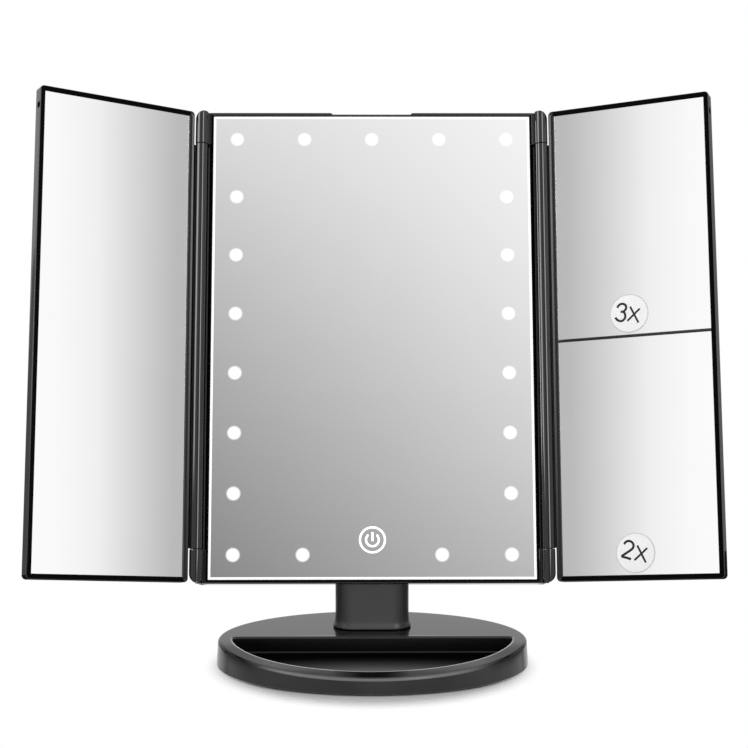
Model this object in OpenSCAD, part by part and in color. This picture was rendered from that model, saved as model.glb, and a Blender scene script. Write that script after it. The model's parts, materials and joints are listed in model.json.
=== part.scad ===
// Lighted vanity mirror with two side leaves, on an oval tray base
// Millimetres. The front faces -Y, +Z is up, and the base stands on z = 0.

/* [Base] */
// Width of the base at the floor
base_w = 151.5; // [135:0.5:180]
// Depth of the base at the floor
base_d = 119; // [112:0.5:140]
// Height of the flat rear part of the base
base_h = 13; // [12:0.25:18]
// Height of the front rim
base_front_h = 8; // [7.5:0.25:10]
// Distance from the middle of the base forward to where its top starts to slope
slope_start = 15; // [8:0.5:25]
// Thickness of the base's side wall
base_wall = 2.2; // [1.6:0.1:3]
// Thickness of the base's top
base_top = 2; // [1.6:0.1:2.6]
// Depth of the tray below the flat top
tray_depth = 8; // [5:0.1:8]
// Thickness of the tray's floor and back wall
tray_wall = 1.8; // [1.2:0.1:2.2]
// Width of the rim beside the tray
tray_rim_side = 7.9; // [6:0.1:12]
// Width of the rim in front of the tray
tray_rim_front = 10.5; // [7:0.1:16]
// Distance of the tray's straight back edge behind the middle of the base
tray_back = 1.5; // [-6:0.1:4]
// Thickness of the rubber pad
pad_t = 0.8; // [0.5:0.1:1]
// Distance of the pad's edge inside the base's edge
pad_in = 9; // [7:0.5:14]
// Thickness of the bottom cover
bottom_t = 1.6; // [1.2:0.1:1.8]
// Thickness of the ballast plate
ballast_t = 5; // [3:0.5:5.5]
// Width of the ballast plate
ballast_w = 90; // [60:1:100]
// Depth of the ballast plate
ballast_d = 34; // [24:1:36]
// Distance of the side bosses inside the base's wall
side_boss_in = 13.5; // [11:0.5:16]
// Distance of the side bosses behind the tray's back wall
side_boss_back = 6; // [4:0.5:10]
// Distance of the back bosses inside the base's wall
back_boss_in = 12.5; // [11:0.25:13]

/* [Neck] */
// Width of the neck
neck_w = 36.6; // [30:0.2:40]
// Depth of the neck, and diameter of its barrel
neck_d = 18; // [16:0.2:18.6]
// Radius of the neck's upright edges
neck_r = 8; // [5:0.25:8]
// Wall thickness of the neck
neck_wall = 2.4; // [1.8:0.1:3]
// Distance of the neck's middle behind the middle of the base
neck_y = 24.5; // [22:0.25:28]
// Height of the tilt axis above the floor
pivot_h = 68.2; // [64:0.2:80]
// How far the collar stands out at the neck's foot
collar_out = 1; // [0.5:0.1:1.6]
// Height of the collar
collar_h = 2; // [1:0.1:4]

/* [Tilt joint] */
// Angle of the head as photographed, leaning back from upright
lean = 13.9; // [0:0.1:30]
// Furthest that the head leans back
lean_max = 60; // [45:1:70]
// Distance of the tilt axis behind the head's back
ear_reach = 10; // [9.8:0.1:14]
// Height of the tilt axis above the head's lower edge
pivot_up = 34; // [28:0.5:50]
// Thickness of an ear
ear_t = 5; // [3.5:0.25:7]
// Radius of an ear
ear_r = 8.5; // [6:0.25:9]
// Diameter of the tilt axle
axle_d = 5; // [4:0.1:6]
// Outer diameter of a bush
bush_d = 8; // [7.2:0.1:10]
// Length of a bush in the barrel
bush_l = 10; // [6:0.5:14]
// Diameter of a bush's flange
flange_d = 14; // [11:0.5:16]
// Thickness of a bush's flange
flange_t = 0.6; // [0.4:0.1:1]
// Thickness of the stop rib on the barrel
stop_t = 3; // [2:0.25:4]
// Width of the stop rib
stop_w = 20; // [12:1:30]

/* [Middle leaf] */
// Width of the opening for the glass and its border
glass_w = 159; // [150:0.5:180]
// Height of the opening for the glass and its border
glass_h = 232; // [215:0.5:260]
// Width of the frame round the opening
bezel = 1.9; // [1.6:0.1:4]
// Thickness of the head from its face to its back
head_t = 14; // [13:0.25:18]
// Thickness of the rear cover
cover_t = 2; // [1.6:0.1:2.6]
// Thickness of the glass
glass_t = 3; // [2:0.1:4]
// How far the glass lies behind the frame's face
glass_set = 0.5; // [0.3:0.1:0.8]
// Width of the white border
surround_w = 1.3; // [1:0.1:3]
// Thickness of the light sheet
sheet_t = 0.8; // [0.8:0.1:1]
// Thickness of the circuit boards
board_t = 1; // [0.8:0.1:1.2]
// Thickness of the ledge that carries the boards
ledge_t = 1.5; // [1:0.1:2]
// Width of the ledge
ledge_w = 9; // [7.5:0.25:11]
// Radius of the upper outer corners, across the hinge knuckles
corner_r = 4.4; // [2:0.1:6]
// Radius of the lower outer corners
corner_low_r = 5.3; // [2:0.1:6]
// Width of the finger notch
notch_w = 40; // [20:1:60]
// Depth of the finger notch
notch_h = 0.8; // [0.4:0.1:1.2]

/* [Lights and touch switch] */
// Number of LEDs in a side column
led_rows = 8; // [4:1:10]
// Number of LEDs in the top row
led_cols = 5; // [3:2:7]
// Distance from the edge of the opening to the LEDs
led_margin = 12; // [9:0.25:14]
// Diameter of a hole in the light sheet
led_hole_d = 7; // [6:0.25:9]
// Width of an LED chip
led_w = 3.5; // [2:0.1:4]
// Height of an LED chip along its column
led_l = 2.8; // [2:0.1:4]
// Height of an LED chip above its board
led_t = 0.7; // [0.4:0.05:0.75]
// Width of the ring-shaped board
ring_w = 18; // [16:0.5:22]
// Diameter of the touch pad
touch_d = 13.4; // [10:0.2:15]
// Height of the touch pad above the lower edge of the opening
touch_up = 19.2; // [17:0.2:21]
// Diameter of the board's tab behind the touch pad
touch_tab_d = 20; // [17:0.5:24]

/* [Side leaves] */
// Angle of the left leaf as photographed, swung forward from flat
left_open = 30.9; // [0:0.1:90]
// Angle of the right leaf as photographed, swung forward from flat
right_open = 24.3; // [0:0.1:90]
// Thickness of a side leaf
wing_t = 6; // [6:0.1:9]
// Width of a side leaf's frame round its mirror
wing_bezel = 2.5; // [1.6:0.1:4]
// How far a side leaf's lower edge stands above the middle leaf's
wing_foot = 0.7; // [0:0.1:3]
// Width of a side leaf's frame beside its hinge
hinge_bezel = 2.9; // [2:0.1:4]
// Radius of a side leaf's outer corners
wing_r = 2; // [1:0.1:4]
// Thickness of a side mirror
wing_mirror_t = 2; // [1.5:0.1:2.4]
// Thickness of the foam pad behind a side mirror
wing_pad_t = 1; // [0.5:0.1:1.2]
// Thickness of a back panel
wing_back_t = 1.5; // [1:0.1:1.6]
// Width of the bar between the two magnifiers
bar_w = 1.2; // [0.8:0.1:3]
// Gap between the two closed leaves
meet_gap = 0.8; // [0.8:0.1:4]
// Diameter of a magnification label
label_d = 19; // [12:0.5:24]
// Thickness of a label
label_t = 0.2; // [0.1:0.05:0.25]
// Height of a label's middle above its mirror's lower edge
label_up = 10.5; // [10:0.25:14]
// Distance of a label's middle from its mirror's middle, towards the hinge
label_in = 1.8; // [0:0.1:6]
// Distance of the catch slot in a leaf's outer side behind the leaf's front
slot_in = 0.4; // [0.3:0.1:2]
// Width of the catch slot
slot_w = 3.2; // [1:0.1:3.6]
// Height of the catch slot
slot_h = 2.8; // [2:0.1:5]
// Distance of the catch slot below the leaf's top
slot_down = 9.5; // [6:0.5:20]

/* [Hinges] */
// Diameter of a hinge knuckle
knuckle_d = 6.4; // [6:0.1:7.5]
// Height of a hinge knuckle
knuckle_h = 16.5; // [12:0.5:24]
// Diameter of a hinge pin
pin_d = 2.4; // [1.8:0.1:3]
// Length of a hinge pin inside a leaf's barrel
pin_in = 14; // [8:0.5:20]
// Distance of the hinge axis in front of the frame's face
hinge_fwd = 0.5; // [0.3:0.1:1]
// Distance of a leaf's face behind the hinge axis
wing_set = 1; // [0.8:0.1:1.3]
// Slit between a knuckle and the side leaf
slit = 0.3; // [0.3:0.1:2]
// Space between a knuckle and the middle leaf's side
hinge_air = 0.6; // [0.4:0.1:1]
// Thickness of the web between a barrel and its leaf
web_t = 1.6; // [1.2:0.1:1.6]
// Step from a knuckle's surface down to a barrel's
barrel_step = 0.1; // [0:0.05:0.3]
// How far the middle leaf's sides stand out behind the hinges
side_out = 5.5; // [3:0.25:5.5]
// Width of the middle leaf's face that stays flat beside the glass, along the barrels
frame_lip = 0.4; // [0.3:0.1:1]

/* [Battery bay] */
// Number of cells
cell_count = 4; // [2:2:4]
// Diameter of a cell
cell_d = 10.5; // [10.3:0.1:10.5]
// Length of a cell
cell_l = 44.5; // [43.5:0.1:44.5]
// Wall thickness of the bay
bay_wall = 1.5; // [1.2:0.1:2]
// Height of the bay's lower end above the head's lower edge
bay_up = 88; // [78:0.5:110]
// Room for a minus contact
spring_room = 2.8; // [2:0.1:4]
// Thickness of a contact
contact_t = 0.4; // [0.3:0.05:0.5]
// Width of a contact
contact_w = 6; // [4:0.25:8]
// How far the door laps the bay on each side
door_lap = 4; // [3:0.25:6]
// Thickness of the door's tongues
tongue_t = 1; // [0.8:0.1:1.4]
// Width of the door's tongues
tongue_w = 1.6; // [1.2:0.1:2.2]
// Thickness of the lips that hold the door
lip_t = 0.8; // [0.6:0.1:1.2]
// Wall of the housing beside and above the door
housing_wall = 3; // [2:0.25:5]

/* [Power inlet] */
// Distance of the inlet to the right of the middle
usb_x = 50; // [40:0.5:56]
// Height of the inlet above the head's lower edge
usb_up = 20; // [18:0.5:26]
// Width of the inlet
usb_w = 7.8; // [7:0.1:9.2]
// Height of the inlet
usb_h = 3.2; // [2.6:0.1:3.4]
// Width of the control board
control_w = 36; // [30:0.5:38]
// Height of the control board
control_h = 22; // [16:0.5:24]
// Diameter of a lead
wire_d = 1.4; // [1:0.1:1.8]

/* [Screws] */
// Shank diameter of the screws
screw_d = 2.4; // [2:0.1:3]
// Head diameter of the screws
screw_head_d = 4.6; // [4:0.1:5]
// Head height of the screws
screw_head_t = 1.2; // [0.8:0.1:1.2]
// Diameter of a screw boss
boss_d = 6; // [5.4:0.1:7]

/* [Fits] */
// Radial clearance of a running fit
run_gap = 0.05; // [0.02:0.01:0.1]
// Gap between pieces that move past each other
move_gap = 0.3; // [0.2:0.05:0.4]
// Gap round a piece that drops into a pocket
seat_gap = 0.15; // [0.1:0.05:0.25]

/* [Hidden] */
$fn = 64;

// Overcut that keeps cuts clear of the faces that they open
cut = 0.5;

// Heights inside the base
bottom_z = pad_t + bottom_t;
roof_z = base_h - base_top;
tray_z = base_h - tray_depth;
slope = atan((base_h - base_front_h) / (base_d / 2 - slope_start));
rear_hollow_y = tray_back + tray_wall;
// Bosses for the bottom cover: two at the sides and two at the back
base_boss = [
  [base_w / 2 - base_wall - side_boss_in, rear_hollow_y + boss_d / 2 + side_boss_back],
  [ballast_w / 3, base_d / 2 - base_wall - back_boss_in]
];
base_screw_l = 6;
// How much further a screw's hole goes than the screw
screw_spare = 1;
// The ballast lies midway between the tray's wall and the back bosses
ballast_y = (rear_hollow_y + base_boss[1][1] - boss_d / 2) / 2;
// Neck screws and the bosses that take them
neck_screw_x = neck_w / 4;
neck_screw_l = 8;
neck_boss_top = 2;
neck_boss_h = neck_screw_l + neck_boss_top;
neck_hollow_h = pivot_h - base_h - neck_d / 2 - neck_wall;

// Tilt joint, in widths from the middle and in radii from the axis
ear_in = neck_w / 2 + flange_t + move_gap;
ear_out = ear_in + ear_t;
washer_t = 1;
nut_t = 4;
axle_head_t = 2.5;
axle_head_out = 2;
axle_head_d = axle_d + 2 * axle_head_out;
washer_out = 0.5;
washer_d = axle_head_d + 2 * washer_out;
nut_wall = 1.5;
nut_af = axle_d + 2 * nut_wall;
stop_r = (ear_reach - move_gap - stop_t / 2 * cos(lean_max)) / sin(lean_max);

// Middle leaf, in depths behind the frame's face
half_w = glass_w / 2 + bezel;
head_h = glass_h + 2 * bezel;
pivot_v = head_t + ear_reach;
glass_back = glass_set + glass_t;
sheet_back = glass_back + sheet_t;
board_back = sheet_back + board_t;
ledge_back = board_back + ledge_t;
frame_back = head_t - cover_t;
head_boss_x = glass_w / 2 - ledge_w / 2;
head_boss_in = 18;
head_boss_step = (glass_h - 2 * head_boss_in) / 2;
head_screw_l = 5;

// Hinges and side leaves, outward from the hinge axis
hinge_x = half_w + hinge_air + knuckle_d / 2;
barrel_d = knuckle_d - 2 * barrel_step;
barrel_z = knuckle_h + move_gap;
barrel_h = head_h - 2 * barrel_z;
pin_foot = 2.5;
wing_edge = knuckle_d / 2 + slit;
wing_w = hinge_x - wing_edge - meet_gap / 2;
mirror_w = wing_w - wing_bezel - hinge_bezel;
mirror_x = wing_edge + hinge_bezel;
mirror_h = head_h - wing_foot - 2 * wing_bezel;
mirror_z = wing_foot + wing_bezel;
half_mirror_h = (mirror_h - bar_w) / 2;
mirror_face = wing_set + glass_set;
mirror_back = mirror_face + wing_mirror_t;
pad_back = mirror_back + wing_pad_t;
wing_back = wing_set + wing_t;
web_set = 1.4;
// Sides of the middle leaf: the part behind the hinges, and the chamfer along the barrels
body_w = 2 * (half_w + side_out);
flange_v = max(barrel_d / 2, web_set + web_t) - hinge_fwd + move_gap;
chamfer_w = bezel - frame_lip;
chamfer_d = flange_v - frame_lip;

// LEDs, measured from the lower middle of the opening
led_x = glass_w / 2 - led_margin;
led_z0 = led_margin;
led_z1 = glass_h - led_margin;
led_pitch_x = 2 * led_x / (led_cols - 1);
led_pitch_z = (led_z1 - led_z0) / (led_rows - 1);
led_middle = (led_cols - 1) / 2;
// Two side columns, the rest of the top row, and the bottom row without its middle one
led_places = concat(
  [for (r = [0 : led_rows - 1]) for (s = [-1, 1]) [s * led_x, led_z0 + r * led_pitch_z]],
  [for (c = [1 : led_cols - 2]) [-led_x + c * led_pitch_x, led_z1]],
  [for (c = [1 : led_cols - 2]) if (c != led_middle) [-led_x + c * led_pitch_x, led_z0]]
);

// Battery bay, in depths behind the frame's face
cell_gap = 0.6;
cell_pitch = cell_d + cell_gap;
bay_w = cell_count * cell_pitch + cell_gap;
bay_l = cell_l + contact_t + spring_room;
bay_floor = board_back + bay_wall;
cell_seat = 0.15;
cell_v = bay_floor + cell_seat + cell_d / 2;
nub_d = 3.8;
nub_l = 0.8;
door_air = 0.35;
door_v = cell_v + cell_d / 2 + door_air;
door_face = door_v + tongue_t + move_gap + lip_t;
door_w = bay_w + 2 * door_lap;
door_l = bay_l + 2 * door_lap;
door_z = bay_up - door_lap;
housing_w = door_w + 2 * housing_wall;
housing_l = door_l + move_gap + housing_wall;
grip_count = 4;
grip_w = 1.2;
grip_pitch = 2 * grip_w;
grip_t = 0.4;

// Control board, in depths behind the frame's face
control_air = 0.6;
control_v = board_back + ledge_t + control_air;
control_x = usb_x - control_w / 2;
control_z = usb_up - control_h / 2;
post_d = 5;
post_in = 4;
header_w = 10;
header_h = 3;
header_in = 2;
header_z = bezel + ledge_w + header_in;
usb_skin = 0.5;

// Placing

// From the head's own frame (x across, y behind its face, z up its face) to the object's frame
module in_head() {
  translate([0, neck_y, pivot_h])
    rotate([-lean, 0, 0])
      translate([0, -pivot_v, -pivot_up])
        children();
}

// From a right-hand leaf's own frame, with its hinge axis at x = y = 0, to the head's
module in_wing(open) {
  translate([hinge_x, -hinge_fwd, 0])
    rotate([0, 0, -open])
      children();
}

module right_side() {
  in_head() in_wing(right_open) children();
}

module left_side() {
  in_head() mirror([1, 0, 0]) in_wing(left_open) children();
}

// Shared shapes

module oval(w, d) {
  steps = 96;
  polygon([for (i = [0 : steps - 1]) [w / 2 * cos(360 * i / steps), d / 2 * sin(360 * i / steps)]]);
}

module round_rect(w, h, r) {
  square([w - 2 * r, h], center = true);
  square([w, h - 2 * r], center = true);
  for (sx = [-1, 1])
    for (sy = [-1, 1])
      translate([sx * (w / 2 - r), sy * (h / 2 - r)])
        circle(r);
}

// Upright plate between two depths, centred across, standing on z
module plate(w, h, v0, v1, z = 0, r = 0) {
  translate([0, v1, z + h / 2])
    rotate([90, 0, 0])
      linear_extrude(v1 - v0)
        if (r > 0)
          round_rect(w, h, r);
        else
          square([w, h], center = true);
}

// Upright plate of a leaf, from its inner edge outwards
module wing_plate(x0, w, h, v0, v1, z = 0, r = 0) {
  translate([x0 + w / 2, 0, 0])
    plate(w, h, v0, v1, z, r);
}

// Cylinder along depth
module rod_v(d, v0, v1) {
  translate([0, v0, 0])
    rotate([-90, 0, 0])
      cylinder(d = d, h = v1 - v0);
}

// Cylinder along width
module rod_x(d, x0, x1) {
  translate([x0, 0, 0])
    rotate([0, 90, 0])
      cylinder(d = d, h = x1 - x0);
}

module both_sides() {
  children();
  mirror([1, 0, 0]) children();
}

module at_base_bosses() {
  for (p = base_boss)
    for (s = [-1, 1])
      translate([s * p[0], p[1], 0])
        children();
}

module at_neck_screws() {
  for (s = [-1, 1])
    translate([s * neck_screw_x, neck_y, 0])
      children();
}

module at_head_bosses() {
  for (s = [-1, 1])
    for (k = [0 : 2])
      translate([s * head_boss_x, 0, bezel + head_boss_in + k * head_boss_step])
        children();
}

module at_leds() {
  for (p = led_places)
    translate([p[0], 0, bezel + p[1]])
      children();
}

module at_touch() {
  translate([0, 0, bezel + touch_up])
    children();
}

module at_pivot() {
  translate([0, pivot_v, pivot_up])
    children();
}

module at_control_posts() {
  for (sx = [-1, 1])
    translate([usb_x + sx * (control_w / 2 - post_in), 0, control_z + control_h - post_in])
      children();
}

// Base

module tray_outline(grow = 0) {
  intersection() {
    oval(base_w - 2 * tray_rim_side + 2 * grow, base_d - 2 * tray_rim_front + 2 * grow);
    translate([-base_w, -base_d])
      square([2 * base_w, base_d + tray_back + grow]);
  }
}

module inside_outline(gap = 0) {
  oval(base_w - 2 * base_wall - 2 * gap, base_d - 2 * base_wall - 2 * gap);
}

module front_slope_cut() {
  translate([0, -slope_start, base_h])
    rotate([slope, 0, 0])
      translate([-base_w, -base_d, 0])
        cube([2 * base_w, base_d, base_h]);
}

module base_shell() {
  color("dimgray") {
    difference() {
      translate([0, 0, pad_t])
        linear_extrude(base_h - pad_t)
          oval(base_w, base_d);
      front_slope_cut();
      translate([0, 0, tray_z])
        linear_extrude(base_h)
          tray_outline();
      // Room below the tray
      translate([0, 0, pad_t - cut])
        linear_extrude(tray_z - tray_wall - pad_t + cut)
          inside_outline();
      // Room behind the tray
      translate([0, 0, pad_t])
        linear_extrude(roof_z - pad_t)
          intersection() {
            inside_outline();
            translate([-base_w, rear_hollow_y])
              square([2 * base_w, base_d]);
          }
      at_neck_screws()
        translate([0, 0, roof_z - cut])
          cylinder(d = screw_d + 2 * seat_gap, h = base_top + 2 * cut);
    }
    at_base_bosses()
      translate([0, 0, bottom_z])
        difference() {
          cylinder(d = boss_d, h = roof_z - bottom_z);
          translate([0, 0, -cut])
            cylinder(d = screw_d, h = base_screw_l + cut);
        }
  }
}

module base_bottom_cover() {
  color("black")
    difference() {
      translate([0, 0, pad_t])
        linear_extrude(bottom_t)
          inside_outline(seat_gap);
      at_base_bosses() {
        translate([0, 0, pad_t - cut])
          cylinder(d = screw_d + 2 * seat_gap, h = bottom_t + 2 * cut);
        translate([0, 0, pad_t - cut])
          cylinder(d = screw_head_d + 2 * seat_gap, h = screw_head_t + cut);
      }
    }
}

module base_pad() {
  color("darkslategray")
    linear_extrude(pad_t)
      oval(base_w - 2 * pad_in, base_d - 2 * pad_in);
}

module ballast_plate() {
  color("silver")
    translate([0, ballast_y, bottom_z])
      linear_extrude(ballast_t)
        round_rect(ballast_w, ballast_d, boss_d / 2);
}

module base_screws() {
  color("lightgray")
    at_base_bosses() {
      translate([0, 0, pad_t])
        cylinder(d = screw_head_d, h = screw_head_t);
      translate([0, 0, pad_t])
        cylinder(d = screw_d, h = bottom_t + base_screw_l - screw_spare);
    }
}

// Neck and tilt joint

module neck_post() {
  color("dimgray") {
    difference() {
      union() {
        translate([0, neck_y, base_h])
          linear_extrude(pivot_h - base_h)
            round_rect(neck_w, neck_d, neck_r);
        translate([0, neck_y, base_h])
          linear_extrude(collar_h)
            round_rect(neck_w + 2 * collar_out, neck_d + 2 * collar_out, neck_r + collar_out);
        translate([0, neck_y, pivot_h])
          rod_x(neck_d, -neck_w / 2, neck_w / 2);
        translate([-stop_w / 2, neck_y - stop_t / 2, pivot_h])
          cube([stop_w, stop_t, stop_r]);
      }
      translate([0, neck_y, base_h - cut])
        linear_extrude(neck_hollow_h + cut)
          round_rect(neck_w - 2 * neck_wall, neck_d - 2 * neck_wall, neck_r - neck_wall);
      translate([0, neck_y, pivot_h])
        rod_x(bush_d, -neck_w, neck_w);
    }
    // Bosses for the neck screws, tied to the front and back walls by a rib
    difference() {
      at_neck_screws()
        translate([0, 0, base_h]) {
          cylinder(d = boss_d, h = neck_boss_h);
          translate([-neck_wall / 2, -neck_d / 2 + neck_wall / 2, 0])
            cube([neck_wall, neck_d - neck_wall, neck_boss_h]);
        }
      at_neck_screws()
        translate([0, 0, base_h - cut])
          cylinder(d = screw_d, h = neck_screw_l + cut);
    }
  }
}

module neck_screws() {
  color("lightgray")
    at_neck_screws() {
      translate([0, 0, roof_z - screw_head_t])
        cylinder(d = screw_head_d, h = screw_head_t);
      translate([0, 0, roof_z - screw_head_t])
        cylinder(d = screw_d, h = screw_head_t + base_top + neck_screw_l - screw_spare);
    }
}

module tilt_bushes() {
  color("ivory")
    translate([0, neck_y, pivot_h])
      both_sides()
        difference() {
          union() {
            rod_x(bush_d, neck_w / 2 - bush_l, neck_w / 2);
            rod_x(flange_d, neck_w / 2, neck_w / 2 + flange_t);
          }
          rod_x(axle_d + 2 * run_gap, neck_w / 2 - bush_l - cut, neck_w / 2 + flange_t + cut);
        }
}

module tilt_axle() {
  color("silver")
    in_head() at_pivot() {
      rod_x(axle_d, -ear_out, ear_out + washer_t + nut_t);
      rod_x(axle_head_d, -ear_out - axle_head_t, -ear_out);
    }
}

module tilt_washer() {
  color("gray")
    in_head() at_pivot()
      difference() {
        rod_x(washer_d, ear_out, ear_out + washer_t);
        rod_x(axle_d, ear_out - cut, ear_out + washer_t + cut);
      }
}

module tilt_nut() {
  color("silver")
    in_head() at_pivot()
      difference() {
        translate([ear_out + washer_t, 0, 0])
          rotate([0, 90, 0])
            cylinder(d = nut_af / cos(30), h = nut_t, $fn = 6);
        rod_x(axle_d, ear_out, ear_out + washer_t + nut_t + cut);
      }
}

// Middle leaf

// Space inside the middle leaf's outline, with its upper and lower corners
module head_outline(v0, v1) {
  over = 2 * max(corner_r, corner_low_r);
  span = 2 * hinge_x + knuckle_d;
  intersection() {
    plate(span, head_h + over, v0, v1, -over, corner_r);
    plate(span, head_h + over, v0, v1, 0, corner_low_r);
  }
}

// Upright plate with the middle leaf's rounded corners
module head_plate(w, v0, v1) {
  intersection() {
    plate(w, head_h, v0, v1);
    head_outline(v0 - cut, v1 + cut);
  }
}

module knuckles() {
  both_sides()
    for (z = [0, head_h - knuckle_h])
      translate([0, 0, z]) {
        translate([hinge_x, -hinge_fwd, 0])
          cylinder(d = knuckle_d, h = knuckle_h);
        translate([half_w - bezel, 0, 0])
          cube([hinge_x - half_w + bezel, flange_v + cut, knuckle_h]);
      }
}

// Cut that slopes the middle leaf's sides away from the barrels
module side_chamfers() {
  over = cut / 5;
  pitch = chamfer_d / chamfer_w;
  both_sides()
    translate([half_w, 0, barrel_z])
      linear_extrude(barrel_h)
        polygon([
          [-chamfer_w - cut / pitch, -cut],
          [over, -cut],
          [over, chamfer_d + over * pitch]
        ]);
}

module at_hinge_pins() {
  both_sides()
    for (m = [0, 1])
      translate([hinge_x, -hinge_fwd, m * head_h])
        mirror([0, 0, m])
          children();
}

module centre_frame() {
  color("black")
    in_head() {
      difference() {
        intersection() {
          union() {
            plate(2 * half_w, head_h, 0, frame_back);
            plate(body_w, head_h, flange_v, frame_back);
            knuckles();
          }
          head_outline(-knuckle_d, head_t);
        }
        side_chamfers();
        plate(glass_w, glass_h, -cut, board_back, bezel);
        plate(glass_w - 2 * ledge_w, glass_h - 2 * ledge_w, -cut, head_t, bezel + ledge_w);
        plate(glass_w, glass_h, ledge_back, head_t, bezel);
        // Finger notch in the top edge
        translate([-notch_w / 2, -cut, head_h - notch_h])
          cube([notch_w, board_back + cut, notch_h + cut]);
        at_hinge_pins()
          translate([0, 0, pin_foot])
            cylinder(d = pin_d, h = knuckle_h);
      }
      at_head_bosses()
        difference() {
          rod_v(boss_d, ledge_back, frame_back);
          rod_v(screw_d, frame_back - head_screw_l, frame_back + cut);
        }
    }
}

module mirror_surround() {
  color("white")
    in_head()
      difference() {
        plate(glass_w - 2 * seat_gap, glass_h - 2 * seat_gap, glass_set, glass_back, bezel + seat_gap);
        plate(glass_w - 2 * surround_w, glass_h - 2 * surround_w, 0, head_t, bezel + surround_w);
      }
}

module centre_mirror() {
  color("lightsteelblue")
    in_head()
      plate(glass_w - 2 * surround_w, glass_h - 2 * surround_w, glass_set, glass_back, bezel + surround_w);
}

module light_sheet() {
  color("whitesmoke")
    in_head()
      difference() {
        plate(glass_w - 2 * seat_gap, glass_h - 2 * seat_gap, glass_back, sheet_back, bezel + seat_gap);
        at_leds()
          rod_v(led_hole_d, glass_back - cut, sheet_back + cut);
        at_touch()
          rod_v(touch_d + 2 * seat_gap, glass_back - cut, sheet_back + cut);
      }
}

module led_board() {
  color("seagreen")
    in_head() {
      difference() {
        plate(glass_w - 2 * seat_gap, glass_h - 2 * seat_gap, sheet_back, board_back, bezel + seat_gap);
        plate(glass_w - 2 * ring_w, glass_h - 2 * ring_w, 0, head_t, bezel + ring_w);
      }
      // Tab behind the touch pad
      at_touch()
        rod_v(touch_tab_d, sheet_back, board_back);
    }
}

module leds() {
  color("yellow")
    in_head()
      at_leds()
        plate(led_w, led_l, sheet_back - led_t, sheet_back, -led_l / 2);
}

module touch_sensor() {
  color("goldenrod")
    in_head()
      at_touch()
        rod_v(touch_d, glass_back, sheet_back);
}

// Rear cover and battery bay

module ears() {
  at_pivot()
    both_sides() {
      rod_x(2 * ear_r, ear_in, ear_out);
      translate([ear_in, -ear_reach - cover_t / 2, -ear_r])
        cube([ear_t, ear_reach + cover_t / 2, 2 * ear_r]);
    }
}

module door_way() {
  // Room for the tongues and the face, open at its lower end
  plate(door_w + 2 * move_gap, door_l + move_gap + cut, door_v - move_gap, door_v + tongue_t + move_gap,
        door_z - cut);
  plate(door_w - 2 * tongue_w + 2 * move_gap, door_l + move_gap + cut, door_v, door_face + cut, door_z - cut);
}

module rear_cover() {
  color("dimgray")
    in_head()
      difference() {
        union() {
          head_plate(body_w, frame_back, head_t);
          plate(bay_w + 2 * bay_wall, bay_l + 2 * bay_wall, bay_floor - bay_wall, head_t, bay_up - bay_wall);
          plate(housing_w, housing_l, frame_back, door_face, door_z, housing_wall);
          ears();
          at_control_posts()
            rod_v(post_d, control_v + board_t, head_t - cover_t / 2);
        }
        plate(bay_w, bay_l, bay_floor, door_face + cut, bay_up);
        door_way();
        at_pivot()
          rod_x(axle_d, -2 * ear_out, 2 * ear_out);
        at_head_bosses() {
          rod_v(screw_d + 2 * seat_gap, frame_back - cut, head_t + cut);
          rod_v(screw_head_d + 2 * seat_gap, head_t - screw_head_t, head_t + cut);
        }
        // Window for the power inlet
        translate([usb_x, 0, 0])
          plate(usb_w + 2 * seat_gap, usb_h + 2 * seat_gap, frame_back - cut, head_t + cut,
                usb_up - usb_h / 2 - seat_gap);
      }
}

module rear_cover_screws() {
  color("lightgray")
    in_head()
      at_head_bosses() {
        rod_v(screw_head_d, head_t - screw_head_t, head_t);
        rod_v(screw_d, frame_back - head_screw_l + screw_spare, head_t);
      }
}

module control_board() {
  color("seagreen")
    in_head()
      translate([usb_x, 0, 0])
        plate(control_w, control_h, control_v, control_v + board_t, control_z);
}

module board_header() {
  color("black")
    in_head()
      translate([usb_x, 0, 0])
        plate(header_w, header_h, board_back, control_v, header_z);
}

module usb_socket() {
  color("silver")
    in_head()
      translate([usb_x, 0, 0])
        difference() {
          plate(usb_w, usb_h, control_v + board_t, head_t, usb_up - usb_h / 2);
          plate(usb_w - 2 * usb_skin, usb_h - 2 * usb_skin, control_v + board_t + usb_skin, head_t + cut,
                usb_up - usb_h / 2 + usb_skin);
        }
}

function cell_x(i) = (i - (cell_count - 1) / 2) * cell_pitch;

// Cell's own frame: its plus end up, its minus end at the lower contact. Every second one is turned over.
module at_cells() {
  for (i = [0 : cell_count - 1])
    translate([cell_x(i), cell_v, bay_up + bay_l / 2])
      mirror([0, 0, i % 2])
        translate([0, 0, -bay_l / 2])
          children();
}

module battery_cells() {
  color("steelblue")
    in_head()
      at_cells()
        translate([0, 0, spring_room]) {
          cylinder(d = cell_d, h = cell_l - nub_l);
          cylinder(d = nub_d, h = cell_l);
        }
}

module battery_plates() {
  color("gold")
    in_head()
      at_cells()
        translate([-contact_w / 2, -contact_w / 2, bay_l - contact_t])
          cube([contact_w, contact_w, contact_t]);
}

// Bent leaf that rises from the bay's end to the cell
module battery_springs() {
  color("gold")
    in_head()
      at_cells()
        translate([-contact_w / 2, 0, 0])
          rotate([90, 0, 90])
            linear_extrude(contact_w)
              polygon([
                [-contact_w / 2, 0],
                [contact_w / 2, 0],
                [contact_w / 2, contact_t],
                [contact_t - contact_w / 2, contact_t],
                [contact_w / 4, spring_room - contact_t],
                [contact_w / 4, spring_room],
                [0, spring_room],
                [-contact_w / 2, contact_t]
              ]);
}

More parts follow.
